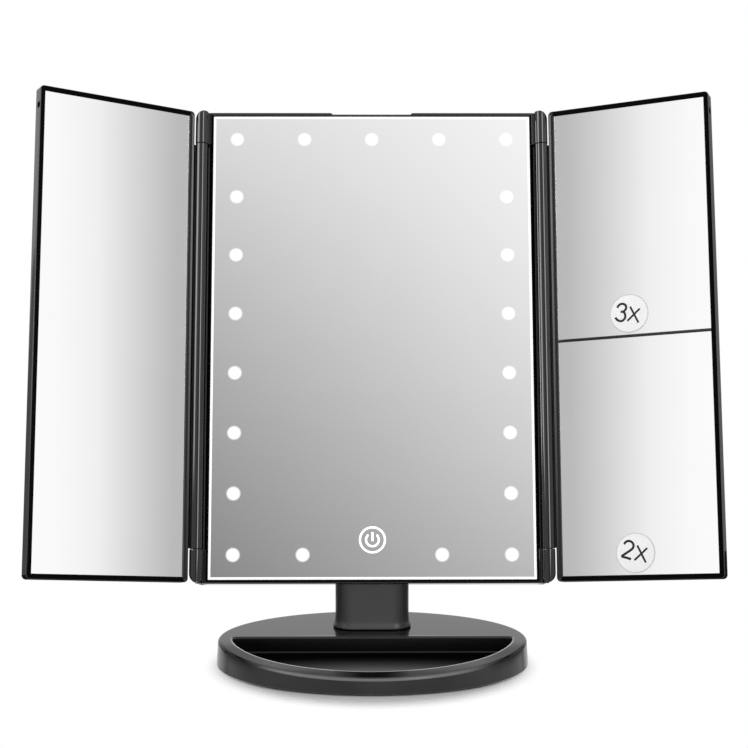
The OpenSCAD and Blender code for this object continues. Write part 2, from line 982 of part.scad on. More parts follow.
// Leads that lie along the inside of the cover, from the bay's lower wall to the control board
module battery_wires() {
  wire_v = frame_back - wire_d / 2;
  wire_top = bay_up - bay_wall;
  wire_low = control_z + control_h - post_in - post_d;
  board_v = control_v + board_t;
  color("firebrick")
    in_head()
      for (k = [0, 1]) {
        x0 = cell_x(cell_count - 1) - k * 2 * wire_d;
        x1 = usb_x - usb_w / 2 - (k + 1) * 2 * wire_d;
        bend = wire_top - (k + 2) * 2 * wire_d;
        translate([x0, wire_v, bend])
          cylinder(d = wire_d, h = wire_top - bend);
        translate([x0, wire_v, bend])
          sphere(d = wire_d);
        translate([0, wire_v, bend])
          rod_x(wire_d, min(x0, x1), max(x0, x1));
        translate([x1, wire_v, bend])
          sphere(d = wire_d);
        translate([x1, wire_v, wire_low])
          cylinder(d = wire_d, h = bend - wire_low);
        translate([x1, wire_v, wire_low])
          sphere(d = wire_d);
        translate([x1, 0, wire_low])
          rod_v(wire_d, board_v, wire_v);
      }
}

module battery_door() {
  color("slategray")
    in_head()
      difference() {
        union() {
          plate(door_w, door_l, door_v, door_v + tongue_t, door_z);
          plate(door_w - 2 * tongue_w, door_l, door_v, door_face, door_z);
        }
        // Grip grooves
        for (k = [0 : grip_count - 1])
          plate(door_w / 3, grip_w, door_face - grip_t, door_face + cut,
                door_z + door_l / 2 + (k - grip_count / 2) * grip_pitch);
      }
}

module hinge_pins() {
  color("silver")
    in_head()
      at_hinge_pins()
        translate([0, 0, pin_foot])
          cylinder(d = pin_d, h = knuckle_h - pin_foot + pin_in);
}

// Side leaves

module wing_frame(bar) {
  difference() {
    union() {
      wing_plate(wing_edge, wing_w, head_h - wing_foot, wing_set, wing_back, wing_foot, wing_r);
      translate([0, 0, barrel_z]) {
        cylinder(d = barrel_d, h = barrel_h);
        translate([0, web_set, 0])
          cube([wing_edge + hinge_bezel / 2, web_t, barrel_h]);
      }
    }
    // Pocket for the mirror, with a bar across it where there are two
    difference() {
      wing_plate(mirror_x, mirror_w, mirror_h, wing_set - cut, pad_back, mirror_z);
      if (bar)
        wing_plate(wing_edge, wing_w, bar_w, wing_set, wing_back, mirror_z + half_mirror_h);
    }
    // Pocket for the back panel
    wing_plate(mirror_x, mirror_w, mirror_h, wing_back - wing_back_t, wing_back + cut, mirror_z);
    for (m = [0, 1])
      translate([0, 0, m * head_h])
        mirror([0, 0, m])
          translate([0, 0, barrel_z - cut])
            cylinder(d = pin_d + 2 * run_gap, h = pin_in + 2 * cut);
    // Catch slot in the outer side
    translate([wing_edge + wing_w - wing_bezel / 2, wing_set + slot_in, 0])
      translate([0, 0, head_h - slot_down - slot_h / 2])
        cube([wing_bezel, slot_w, slot_h]);
  }
}

// Piece that fills a leaf's pocket between two heights and two depths
module wing_filling(h, v0, v1, z) {
  wing_plate(mirror_x + seat_gap, mirror_w - 2 * seat_gap, h - 2 * seat_gap, v0, v1, z + seat_gap);
}

upper_z = mirror_z + half_mirror_h + bar_w;

module wing_label(z) {
  translate([mirror_x + mirror_w / 2 - label_in, 0, z + label_up])
    rod_v(label_d, mirror_face - label_t, mirror_face);
}

module left_wing_frame() {
  color("black") left_side() wing_frame(false);
}

module left_mirror() {
  color("lightsteelblue") left_side() wing_filling(mirror_h, mirror_face, mirror_back, mirror_z);
}

module left_mirror_pad() {
  color("white") left_side() wing_filling(mirror_h, mirror_back, pad_back, mirror_z);
}

module left_back_panel() {
  color("dimgray") left_side() wing_filling(mirror_h, wing_back - wing_back_t, wing_back, mirror_z);
}

module right_wing_frame() {
  color("black") right_side() wing_frame(true);
}

module upper_magnifier() {
  color("lightsteelblue") right_side() wing_filling(half_mirror_h, mirror_face, mirror_back, upper_z);
}

module lower_magnifier() {
  color("lightsteelblue") right_side() wing_filling(half_mirror_h, mirror_face, mirror_back, mirror_z);
}

module right_mirror_pads() {
  color("white")
    right_side()
      for (z = [mirror_z, upper_z])
        wing_filling(half_mirror_h, mirror_back, pad_back, z);
}

module right_back_panel() {
  color("dimgray") right_side() wing_filling(mirror_h, wing_back - wing_back_t, wing_back, mirror_z);
}

module upper_label() {
  color("white") right_side() wing_label(upper_z);
}

module lower_label() {
  color("white") right_side() wing_label(mirror_z);
}

base_shell();
base_bottom_cover();
base_pad();
ballast_plate();
base_screws();
neck_post();
neck_screws();
tilt_bushes();
tilt_axle();
tilt_washer();
tilt_nut();
centre_frame();
mirror_surround();
centre_mirror();
light_sheet();
led_board();
leds();
touch_sensor();
rear_cover();
rear_cover_screws();
control_board();
board_header();
usb_socket();
battery_cells();
battery_plates();
battery_springs();
battery_wires();
hinge_pins();
battery_door();
left_wing_frame();
left_mirror();
left_mirror_pad();
left_back_panel();
right_wing_frame();
upper_magnifier();
lower_magnifier();
right_mirror_pads();
right_back_panel();
upper_label();
lower_label();
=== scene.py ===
"""Lighted vanity mirror: dresses the CAD model and sets it on a plain stage."""

import json
import math
from functools import partial

import bmesh
import bpy
from bpy.props import FloatProperty, FloatVectorProperty, IntProperty, PointerProperty
from mathutils import Matrix, Vector

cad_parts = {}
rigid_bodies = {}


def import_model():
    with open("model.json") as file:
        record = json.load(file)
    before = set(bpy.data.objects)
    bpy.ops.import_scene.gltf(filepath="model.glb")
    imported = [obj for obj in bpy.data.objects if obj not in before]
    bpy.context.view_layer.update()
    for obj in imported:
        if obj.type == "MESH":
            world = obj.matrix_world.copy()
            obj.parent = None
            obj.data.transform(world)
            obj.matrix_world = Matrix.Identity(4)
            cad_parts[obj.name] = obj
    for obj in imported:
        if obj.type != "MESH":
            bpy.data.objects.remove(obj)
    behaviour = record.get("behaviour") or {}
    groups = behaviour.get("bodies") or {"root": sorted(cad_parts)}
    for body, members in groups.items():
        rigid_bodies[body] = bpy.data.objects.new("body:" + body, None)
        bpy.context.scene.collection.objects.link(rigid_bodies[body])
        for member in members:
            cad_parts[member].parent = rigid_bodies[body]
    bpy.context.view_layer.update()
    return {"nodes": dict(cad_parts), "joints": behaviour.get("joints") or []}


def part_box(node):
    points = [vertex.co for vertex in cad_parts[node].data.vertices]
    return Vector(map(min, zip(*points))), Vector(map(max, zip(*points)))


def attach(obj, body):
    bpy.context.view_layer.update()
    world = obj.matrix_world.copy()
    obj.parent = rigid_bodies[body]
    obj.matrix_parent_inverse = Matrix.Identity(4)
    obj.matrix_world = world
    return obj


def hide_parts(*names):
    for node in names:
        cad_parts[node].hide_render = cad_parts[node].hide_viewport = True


bl_info = {
    "name": "Lighted vanity mirror",
    "version": (1, 0, 0),
    "blender": (4, 5, 0),
    "location": "View3D > Sidebar > Mirror",
    "description": "Dresses the model of a three-leaf lighted mirror and sets it on a plain stage",
    "category": "Object",
}

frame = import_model()
NODES = frame["nodes"]
JOINTS = {joint["name"]: joint for joint in frame["joints"]}
MM = 0.001


# Frames of the leaves: x across, y behind the face, z up the face

def rest_angle(joint):
    """Angle from the joint's lower limit to its place at rest."""
    return math.radians(-JOINTS[joint]["range_deg"][0])


HINGE = Vector(JOINTS["right_leaf_hinge"]["pos_m"])
# How far the hinge axes lie in front of the middle leaf's face
HINGE_FORWARD = 0.5 * MM
# Length of a hinge knuckle, the air beside it, and the air round a glass in its frame
KNUCKLE_H, HINGE_AIR, GLASS_AIR = 16.5 * MM, 0.3 * MM, 0.15 * MM
HEAD = Matrix.Rotation(-rest_angle("head_tilt"), 4, "X")
HEAD.translation = Vector((0, HINGE.y, HINGE.z)) + HEAD.to_3x3() @ Vector((0, HINGE_FORWARD, 0))


def leaf_frame(joint, side):
    """Frame of a side leaf, with x pointing outward from its hinge axis."""
    to_hinge = Matrix.Translation((HINGE.x, -HINGE_FORWARD, 0))
    mirror = Matrix.Diagonal((side, 1, 1, 1))
    return HEAD @ mirror @ to_hinge @ Matrix.Rotation(-rest_angle(joint), 4, "Z")


LEFT_LEAF = leaf_frame("left_leaf_hinge", -1)
RIGHT_LEAF = leaf_frame("right_leaf_hinge", 1)


def local_box(node, place):
    """Lowest and highest corner of a CAD node in a leaf's own frame."""
    back = place.inverted()
    points = [back @ v.co for v in NODES[node].data.vertices]
    return [Vector([pick(p[i] for p in points) for i in range(3)]) for pick in (min, max)]


# Properties

def amount(name, description, default, **kind):
    return FloatProperty(name=name, description=description, default=default, min=0.0, **kind)


def length(name, description, default):
    return amount(name, description, default, precision=5, subtype="DISTANCE", unit="LENGTH")


def share(name, description, default):
    return amount(name, description, default, max=1.0, subtype="FACTOR")


def angle(name, description, degrees):
    return FloatProperty(name=name, description=description, default=math.radians(degrees),
                         subtype="ANGLE", unit="ROTATION")


def tint(name, description, *default):
    return FloatVectorProperty(name=name, description=description, default=default, size=3,
                               min=0.0, max=1.0, subtype="COLOR")


class VanitySizes(bpy.types.PropertyGroup):
    """Sizes that the dressing adds to the CAD model."""

    base_draft: length("Base draft", "How far the base's side leans in from its foot to its rim", 0.7 * MM)
    rim_round: length("Rim round", "Radius of the base's outer rim", 1.3 * MM)
    tray_round: length("Tray round", "Radius of the tray's upper edge", 0.9 * MM)
    tray_fillet: length("Tray fillet", "Radius where the tray's wall meets its floor", 1.0 * MM)
    collar_flare: length("Collar flare", "How far the neck's foot spreads", 1.1 * MM)
    frame_round: length("Frame round", "Radius along the outer edges of the middle frame", 0.75 * MM)
    leaf_round: length("Leaf round", "Radius along the outer edges of the side frames", 0.35 * MM)
    frame_lip: length("Frame lip", "Flat face beside the middle glass, along the barrels", 0.4 * MM)
    hinge_lip: length("Hinge lip", "Width of a side frame beside its hinge", 2.9 * MM)
    lip_round: length("Lip round", "Radius along the lip round the glass", 0.2 * MM)
    cover_round: length("Cover round", "Radius along the edges of the back pieces", 0.35 * MM)
    window_width: length("Light window", "Diameter of a light window in the mirror", 7.7 * MM)
    window_height: length("Light window height", "How far a light window stands proud", 0.12 * MM)
    mark_line: length("Touch mark line", "Line width of the touch mark", 0.95 * MM)
    digit_line: length("Digit line", "Line width of the magnifications", 1.15 * MM)
    ink_height: length("Ink height", "Thickness of printed lines", 0.08 * MM)
    light_rows: IntProperty(name="Light rows", description="Lights up each side", default=8, min=2)
    light_columns: IntProperty(name="Light columns", description="Lights along the top", default=5, min=3)
    light_margin: length("Light margin", "From the edge of the glass to the lights' middles", 12 * MM)


class VanityFinishes(bpy.types.PropertyGroup):
    """Colours and finishes of the pieces."""

    shell_tint: tint("Shell", "Satin black plastic of the back", 0.022, 0.022, 0.0225)
    shell_roughness: share("Shell roughness", "Roughness of the satin plastic", 0.34)
    side_tint: tint("Base side", "Finely textured side of the base", 0.024, 0.024, 0.0243)
    base_tint: tint("Base", "Smooth black plastic on top of the base", 0.005, 0.005, 0.0051)
    base_roughness: share("Base roughness", "Roughness of the base's plastic", 0.12)
    # Painted reflection: the rim beside its front middle is lighter in colour, and its outer edge carries a
    # painted highlight
    rim_sheen_tint: tint("Base rim", "Painted reflection beside the middle of the base's front rim", 0.056, 0.056, 0.0565)
    rim_highlight_tint: tint("Base rim edge", "Painted highlight along the front rim's outer edge", 0.17, 0.17, 0.17)
    tray_tint: tint("Tray", "Finely textured floor of the tray", 0.002, 0.002, 0.002)
    # Painted glow: the tray floor's front middle is lighter in colour, fading towards its back
    tray_glow_tint: tint("Tray glow", "Painted glow on the front middle of the tray's floor", 0.33, 0.33, 0.332)
    tray_roughness: share("Tray roughness", "Roughness of the tray's floor", 0.6)
    # Painted highlight along the front of the tray's upper edge
    tray_highlight_tint: tint("Tray edge", "Painted highlight along the front of the tray's upper edge", 0.4, 0.4, 0.4)
    # Painted light down the front of the neck, shading off to its sides
    neck_light_tint: tint("Neck", "Painted light down the front of the neck", 0.3, 0.3, 0.302)
    frame_tint: tint("Frames", "Smooth black plastic of the frames", 0.003, 0.003, 0.0032)
    face_tint: tint("Frame faces", "Dull black plastic of the frames' fronts", 0.0012, 0.0012, 0.0013)
    frame_roughness: share("Frame roughness", "Roughness of the smooth plastic", 0.035)
    glass_tint: tint("Mirror", "Tint of the silvered glass", 0.904, 0.903, 0.9035)
    border_tint: tint("Border", "White border round the middle glass", 0.94, 0.94, 0.94)
    light_tint: tint("Lights", "Light through the windows", 1.0, 1.0, 0.995)
    label_tint: tint("Labels", "White film of the labels", 0.95, 0.95, 0.95)
    label_edge_tint: tint("Label edges", "Edge rings of the labels", 0.6, 0.6, 0.6)
    ink_tint: tint("Ink", "Printed digits", 0.004, 0.004, 0.004)
    steel_tint: tint("Steel", "Plated screws and axle", 0.55, 0.55, 0.57)
    pin_tint: tint("Pins", "Blackened hinge pins", 0.02, 0.02, 0.021)
    brass_tint: tint("Brass", "Battery contacts", 0.72, 0.55, 0.27)
    board_tint: tint("Board", "Green solder mask of the circuit boards", 0.012, 0.11, 0.045)
    track_tint: tint("Tracks", "Copper tracks under the solder mask", 0.03, 0.2, 0.09)
    nylon_tint: tint("Nylon", "Bushes of the tilt axle", 0.72, 0.7, 0.63)
    rubber_tint: tint("Rubber", "Pad under the base", 0.022, 0.022, 0.022)
    foam_tint: tint("Foam", "Adhesive pads behind the side mirrors", 0.8, 0.8, 0.78)
    cell_tint: tint("Cells", "Sleeves of the battery cells", 0.02, 0.05, 0.13)
    band_tint: tint("Cell bands", "Lighter bands on the cells", 0.45, 0.47, 0.5)
    wire_tint: tint("Wires", "Sleeves of the battery leads", 0.4, 0.02, 0.015)


class VanityStage(bpy.types.PropertyGroup):
    """Camera, light and ground."""

    lens: amount("Lens", "Focal length in millimetres on a 36 mm frame", 81.8)
    camera_place: FloatVectorProperty(name="Camera place", description="Where the camera stands", size=3,
                                      default=(-6.2 * MM, -814.8 * MM, 208.9 * MM), subtype="TRANSLATION",
                                      unit="LENGTH")
    camera_down: angle("Camera pitch", "How far the camera looks down", 4.711)
    camera_turn: angle("Camera turn", "How far the camera looks to the right", 0.49)
    # Grey only near the base and faded into the white background beyond, so this floor colour is a painted
    # shadow halo over the real shadow
    ground_shade_tint: tint("Ground", "Colour of the floor", 0.5, 0.5, 0.5)
    fill: share("Fill", "Strength of the soft light from all round", 0.9)
    key_power: amount("Key", "Power of the overhead panel", 2.0, unit="POWER")
    strip_level: amount("Strips", "Brightness of the tall panels that the edges show", 9.0)
    flag_level: share("Flags", "Brightness of the grey panels that the leaves' outer sides show", 0.3)
    floor_level: share("Floor flags", "Brightness of the dark panels on the floor", 0.02)
    top_level: amount("Top", "Brightness of the overhead panel in upper edges", 2.2)
    lip_level: amount("Lip glow", "Brightness that the side frames show beside their hinges", 6.0)


# Finishes

def overload(operation):
    """Methods for an operator and its reflected form, which add a Math node."""
    def straight(self, other):
        return self.math(operation, self, other)

    def reflected(self, other):
        return self.math(operation, other, self)

    return straight, reflected


class Value:
    """A socket in a shader; arithmetic on it adds Math nodes."""

    def __init__(self, tree, socket):
        self.tree, self.socket = tree, socket

    def math(self, operation, *operands):
        return self.fill("ShaderNodeMath", "operation", operation, operands)

    def fill(self, kind, setting, choice, operands):
        """Adds a node with one setting, and gives its first output."""
        node = self.tree.nodes.new(kind)
        setattr(node, setting, choice)
        for socket, operand in zip(node.inputs, operands):
            connect(self.tree, socket, operand)
        return Value(self.tree, node.outputs[0])

    __add__, __radd__ = overload("ADD")
    __sub__, __rsub__ = overload("SUBTRACT")
    __mul__, __rmul__ = overload("MULTIPLY")
    __truediv__, __rtruediv__ = overload("DIVIDE")
    __pow__, __rpow__ = overload("POWER")
    most, _ = overload("MAXIMUM")
    least, _ = overload("MINIMUM")

    def __abs__(self):
        return self.math("ABSOLUTE", self)

    def between(self, low, high):
        """One where the value lies between two others, and zero elsewhere."""
        return self.math("GREATER_THAN", self, low) * self.math("LESS_THAN", self, high)

    def smooth(self, start, end, first=0.0, last=1.0):
        """Goes smoothly from first to last while the value goes from start to end."""
        ends = (self, start, end, first, last)
        return self.fill("ShaderNodeMapRange", "interpolation_type", "SMOOTHSTEP", ends)


def connect(tree, socket, value):
    """Links a value to a socket, or sets the socket to it."""
    if isinstance(value, Value):
        tree.links.new(value.socket, socket)
    else:
        socket.default_value = value


class Shader:
    """A node tree that is written as expressions."""

    def __init__(self, tree):
        self.tree = tree
        tree.nodes.clear()

    def node(self, kind, settings=(), values=(), out=0):
        """Adds a node, sets its settings, then its sockets, and gives one output, or all a tuple names."""
        made = self.tree.nodes.new(kind)
        for key, setting in dict(settings).items():
            if key == "stops":
                stops = made.color_ramp.elements
                while len(stops) < len(setting):
                    stops.new(1.0)
                for stop, (at, grey) in zip(stops, setting):
                    stop.position, stop.color = at, (grey, grey, grey, 1)
            else:
                setattr(made, key, setting)
        for key, value in dict(values).items():
            connect(self.tree, made.inputs[key], value)
        if isinstance(out, tuple):
            return [Value(self.tree, made.outputs[key]) for key in out]
        return Value(self.tree, made.outputs[out]) if made.outputs else made

    def axes(self, vector):
        """The three coordinates of a vector."""
        return self.node("ShaderNodeSeparateXYZ", {}, {"Vector": vector}, out=("X", "Y", "Z"))


# Waves per metre of a fine moulded texture and how strongly it stands out
FINE_GRAIN, FINE_RELIEF = 2600, 0.12


class Finish(Shader):
    """A material with a Principled shader."""

    def __init__(self, name, **constants):
        self.material = bpy.data.materials.new(name)
        self.material.use_nodes = True
        super().__init__(self.material.node_tree)
        self.surface = self.node("ShaderNodeBsdfPrincipled")
        self.sockets = self.surface.socket.node.inputs
        self.set(**constants)
        self.output = self.node("ShaderNodeOutputMaterial", {}, {"Surface": self.surface})
        self.place = self.node("ShaderNodeTexCoord", out="Object")

    def set(self, **values):
        """Sets or links sockets of the shader, and gives the material."""
        for key, value in values.items():
            connect(self.tree, self.sockets[key.replace("_", " ")], value)
        return self.material

    def noise(self, scale, detail=2.0, stretch=None):
        """Noise on the piece's own coordinates, with a scale in waves per metre."""
        place = self.place
        if stretch:
            place = self.node("ShaderNodeMapping", {}, {"Vector": place, "Scale": stretch})
        return self.node("ShaderNodeTexNoise", {}, {"Vector": place, "Scale": scale, "Detail": detail})

    def clouds(self):
        return self.noise(28, 3)

    def grain(self, scale=FINE_GRAIN):
        return self.noise(scale, 1)

    def mix(self, low, high, share_of_high):
        """Colour between two others."""
        low = low if isinstance(low, Value) else (*low, 1)
        return self.node("ShaderNodeMix", {"data_type": "RGBA"},
                         {"Factor": share_of_high, 6: low, 7: (*high, 1)}, out=2)

    def bump(self, height, strength=FINE_RELIEF, distance=0.05 * MM):
        return self.node("ShaderNodeBump", {}, {"Height": height, "Strength": strength, "Distance": distance})

    def oval_share(self, centre, reach):
        """Distance from a centre, as a share of an oval's reach."""
        combine = partial(self.node, "ShaderNodeVectorMath")
        apart = combine({"operation": "SUBTRACT"}, {0: self.place, 1: (*centre, 0.0)})
        flat = combine({"operation": "MULTIPLY"}, {0: apart, 1: (1 / reach[0], 1 / reach[1], 0.0)})
        return combine({"operation": "LENGTH"}, {0: flat}, out="Value")


def shades(colour, low=0.85, high=1.15):
    """A darker and a lighter neighbour of a colour."""
    return ([min(c * low, 1) for c in colour], [min(c * high, 1) for c in colour])


def varied(middle, texture, amount_of_it):
    """A value that a texture raises and lowers."""
    return middle + (texture - 0.5) * amount_of_it


def patchy(roughness, clouds, texture):
    """Roughness that wide clouds and a fine texture change."""
    return roughness * (0.6 + clouds * 0.5 + texture * 0.3)


def moulded_plastic(name, colour, roughness, grain=FINE_GRAIN, relief=FINE_RELIEF, level=0.5, drift=0.15):
    """Moulded plastic: soft clouds in its colour and gloss, and a fine texture."""
    look = Finish(name, Specular_IOR_Level=level)
    clouds, texture = look.clouds(), look.grain(grain)
    return look.set(Base_Color=look.mix(*shades(colour, 1 - drift, 1 + drift), clouds),
                    Roughness=patchy(roughness, clouds, texture), Normal=look.bump(texture, relief))


def tray_painted_glow(name, colour, lit_tone, roughness):
    """Matt tray floor with a painted glow in the middle of its front that fades towards its back and sides.
    """
    look = Finish(name, Specular_IOR_Level=0.0)
    texture = look.grain()
    away = varied(look.oval_share((0.0, -51 * MM), (125 * MM, 45 * MM)), texture, 0.06)
    # Painted glow: lighter colour in the middle of the front, fading out away from it
    lit_share = (1 - away).most(0.0).least(1.0) ** 2
    return look.set(Base_Color=look.mix(colour, lit_tone, lit_share), Roughness=varied(roughness, texture, 0.1),
                    Normal=look.bump(texture))


def rim_painted_sheen(name, colour, sheen_colour, bright, roughness, reach):
    """Polished top of the base, with a painted reflection beside its front rim's middle and a painted
    highlight along the rim's outer edge.
    """
    look = Finish(name, Specular_IOR_Level=0.125)
    texture, clouds = look.grain(), look.clouds()
    x, y, _ = look.axes(look.place)
    front = y.smooth(-20 * MM, -32 * MM)
    beside = abs(x).smooth(4 * MM, 20 * MM) * abs(x).smooth(46 * MM, 62 * MM, 1.0, 0.0)
    outside = look.oval_share((0.0, 0.0), reach).smooth(0.974, 0.984)
    edge = outside * abs(x).smooth(36 * MM, 56 * MM, 1.0, 0.0)
    # Painted reflection beside the rim's middle, then a painted highlight along its outer edge
    top = look.mix(colour, sheen_colour, front * beside * (0.8 + clouds * 0.4))
    return look.set(Base_Color=look.mix(top, bright, front * edge * (0.8 + texture * 0.4)),
                    Roughness=patchy(roughness, clouds, texture), Normal=look.bump(texture))


def post_painted_light(name, colour, lit_tone, roughness):
    """Satin post with painted light down the middle of its front that shades off towards its sides, nearly
    even up its height.
    """
    look = Finish(name, Specular_IOR_Level=0.3)
    texture, clouds = look.grain(), look.clouds()
    x, _, z = look.axes(look.place)
    # Painted light: lighter down the front's middle, shading off towards the sides
    across = abs(x).smooth(9 * MM, 19 * MM, 1.0, 0.0)
    foot = z.smooth(13.5 * MM, 19 * MM, 0.34, 0.36)
    return look.set(Base_Color=look.mix(colour, lit_tone, across * foot * (0.9 + clouds * 0.2)),
                    Roughness=varied(roughness, texture, 0.08), Normal=look.bump(texture))


def edge_painted_highlight(name, colour, lit_tone, roughness):
    """Round edge of the tray with a painted highlight along its front, faint towards the back."""
    look = Finish(name, Specular_IOR_Level=0.3)
    mottle = look.noise(420, 2)
    _, y, _ = look.axes(look.place)
    # Painted highlight: lighter along the front of the edge, faint at the back
    lit_share = y.smooth(-14 * MM, -3 * MM, 1.0, 0.08)
    return look.set(Base_Color=look.mix(colour, lit_tone, lit_share * (0.8 + mottle * 0.4)),
                    Roughness=varied(roughness, mottle, 0.1))


def plated_metal(name, colour, roughness):
    """Plated metal with a drawn grain."""
    look = Finish(name, Metallic=1.0)
    grain, clouds = look.noise(900, 2, (1, 1, 12)), look.noise(160, 3)
    return look.set(Base_Color=look.mix(*shades(colour, 0.8, 1.1), clouds),
                    Roughness=varied(roughness, grain, 0.18), Normal=look.bump(grain, 0.08, 0.03 * MM))


def silvered_glass(name, colour):
    """Mirror glass, with the faintest haze."""
    look = Finish(name, Metallic=1.0)
    haze = look.noise(24, 4)
    return look.set(Base_Color=look.mix(*shades(colour, 0.985, 1.01), haze), Roughness=haze * 0.012)


def lit_white(name, colour, glow, roughness=0.45):
    """White plastic with light behind it."""
    look = Finish(name, Emission_Strength=glow)
    frost = look.noise(1400, 2)
    return look.set(Base_Color=look.mix(*shades(colour, 0.97, 1.03), frost),
                    Emission_Color=look.mix(*shades(colour, 0.99, 1.0), frost),
                    Roughness=varied(roughness, frost, 0.2))


def circuit_board(name, mask, track):
    """Solder mask over copper tracks."""
    look = Finish(name)
    tracks = look.node("ShaderNodeTexWave", {"wave_profile": "SIN"},
                       {"Vector": look.place, "Scale": 180, "Distortion": 9, "Detail": 1}, out="Fac")
    edge = look.node("ShaderNodeValToRGB", {"stops": ((0.55, 0.0), (0.62, 1.0))}, {"Fac": tracks})
    return look.set(Base_Color=look.mix(mask, track, edge), Roughness=0.42 - look.noise(700, 2) * 0.12,
                    Normal=look.bump(tracks, 0.15, 0.04 * MM))


def soft_foam(name, colour, cell=900):
    """Foam or rubber with open pores."""
    look = Finish(name)
    pores = look.node("ShaderNodeTexVoronoi", {}, {"Vector": look.place, "Scale": cell})
    return look.set(Base_Color=look.mix(*shades(colour, 0.75, 1.1), pores), Roughness=0.95 - pores * 0.15,
                    Normal=look.bump(pores, 0.35, 0.15 * MM))


def cell_sleeve(name, sleeve, band):
    """Plain sleeve of a battery cell, with lighter bands."""
    look = Finish(name, Coat_Weight=0.3)
    bands = look.node("ShaderNodeValToRGB", {"stops": ((0.47, 0.0), (0.5, 1.0))}, {"Fac": look.noise(9, 0)})
    return look.set(Base_Color=look.mix(sleeve, band, bands), Metallic=0.2 + bands * 0.4,
                    Roughness=0.28 + look.noise(2200, 2) * 0.14)


def light_window(name, colour, glow, soft_from):
    """Lit window whose light falls off towards its rim."""
    look = Finish(name, Emission_Strength=glow, Roughness=0.5)
    frost = look.noise(1400, 2)
    reach = look.node("ShaderNodeAttribute", {"attribute_name": "reach"}, out="Fac")
    return look.set(Base_Color=look.mix(*shades(colour, 0.02, 0.03), frost),
                    Emission_Color=look.mix(*shades(colour, 0.99, 1.0), frost),
                    Alpha=reach.smooth(soft_from, 1.0, 1.0, 0.0))


_made = {}


def finish(key):
    """The material of that name, made once."""
    if key not in _made:
        f = bpy.context.scene.vanity_finishes
        plastic = partial(partial, moulded_plastic)
        makers = {
            "satin_shell": plastic(colour=f.shell_tint, roughness=f.shell_roughness, level=0.4),
            "base_side": plastic(colour=f.side_tint, roughness=0.2, level=0.25, drift=0.9),
            "base_gloss": partial(rim_painted_sheen, colour=f.base_tint, sheen_colour=f.rim_sheen_tint, bright=f.rim_highlight_tint,
                                  roughness=f.base_roughness, reach=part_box("base_shell")[1][:2]),
            "tray_wall": plastic(colour=f.tray_tint, roughness=0.2, level=0.25),
            "tray_floor": partial(tray_painted_glow, colour=f.tray_tint, lit_tone=f.tray_glow_tint,
                                  roughness=f.tray_roughness),
            "tray_edge": partial(edge_painted_highlight, colour=f.base_tint, lit_tone=f.tray_highlight_tint, roughness=f.base_roughness),
            "satin_neck": partial(post_painted_light, colour=f.base_tint, lit_tone=f.neck_light_tint, roughness=0.36),
            "smooth_frame": plastic(colour=f.frame_tint, roughness=f.frame_roughness, grain=1300,
                                    relief=0.02),
            "frame_face": plastic(colour=f.face_tint, roughness=0.3, grain=1300, relief=0.02, level=0.02),
            "silvered_glass": partial(silvered_glass, colour=f.glass_tint),
            "white_border": partial(lit_white, colour=f.border_tint, glow=0.35),
            "light_window": partial(light_window, colour=f.light_tint, glow=1.0, soft_from=0.6),
            "touch_light": partial(lit_white, colour=f.light_tint, glow=0.9, roughness=0.5),
            "light_sheet": partial(lit_white, colour=f.border_tint, glow=0.0, roughness=0.6),
            "label_film": plastic(colour=f.label_tint, roughness=0.4, grain=1500, relief=0.03),
            "label_edge": plastic(colour=f.label_edge_tint, roughness=0.4, grain=1500, relief=0.03),
            "printed_ink": plastic(colour=f.ink_tint, roughness=0.5, grain=1800, relief=0.05, level=0.2),
            "plated_steel": partial(plated_metal, colour=f.steel_tint, roughness=0.3),
            "blackened_steel": partial(plated_metal, colour=f.pin_tint, roughness=0.4),
            "spring_brass": partial(plated_metal, colour=f.brass_tint, roughness=0.28),
            "circuit_board": partial(circuit_board, mask=f.board_tint, track=f.track_tint),
            "natural_nylon": plastic(colour=f.nylon_tint, roughness=0.5, grain=900, relief=0.1),
            "pad_rubber": partial(soft_foam, colour=f.rubber_tint, cell=1500),
            "mounting_foam": partial(soft_foam, colour=f.foam_tint),
            "cell_sleeve": partial(cell_sleeve, sleeve=f.cell_tint, band=f.band_tint),
            "wire_sleeve": plastic(colour=f.wire_tint, roughness=0.45, grain=1800, relief=0.06),
        }
        _made[key] = makers[key](key)
    return _made[key]


# Mesh building

def add_object(name, data):
    made = bpy.data.objects.new(name, data)
    bpy.context.scene.collection.objects.link(made)
    return made


def plain_mesh(source):
    """What an object's bevel or modifiers make of it, as a mesh of its own."""
    bpy.context.view_layer.update()
    return bpy.data.meshes.new_from_object(source.evaluated_get(bpy.context.evaluated_depsgraph_get()))


def ease(t):
    """Goes smoothly from zero to one."""
    t = max(0.0, min(1.0, t))
    return t * t * (3 - 2 * t)


def loft(bm, loops, ring=False, finishes=()):
    """Skins a row of closed loops with the same number of points. A ring joins the last loop to the first,
    and other rows get closed ends. finishes gives (first row, material number) pairs in order."""
    rows = [[bm.verts.new(p) for p in loop] for loop in loops]
    count, number, changes = len(rows[0]), 0, dict(finishes)
    for k, (low, high) in enumerate(zip(rows, rows[1:] + ([rows[0]] if ring else []))):
        number = changes.get(k, number)
        for i in range(count):
            j = (i + 1) % count
            bm.faces.new((low[i], low[j], high[j], high[i])).material_index = number
    for row, cap_number in () if ring else ((rows[0], 0), (rows[-1], number)):
        hub = bm.verts.new(sum((v.co for v in row), Vector()) / count)
        for i in range(count):
            bm.faces.new((row[i], row[(i + 1) % count], hub)).material_index = cap_number


def quarter(steps):
    """Sine and cosine pairs over a quarter turn."""
    turns = [math.pi / 2 * i / steps for i in range(steps + 1)]
    return [(math.sin(a), math.cos(a)) for a in turns]


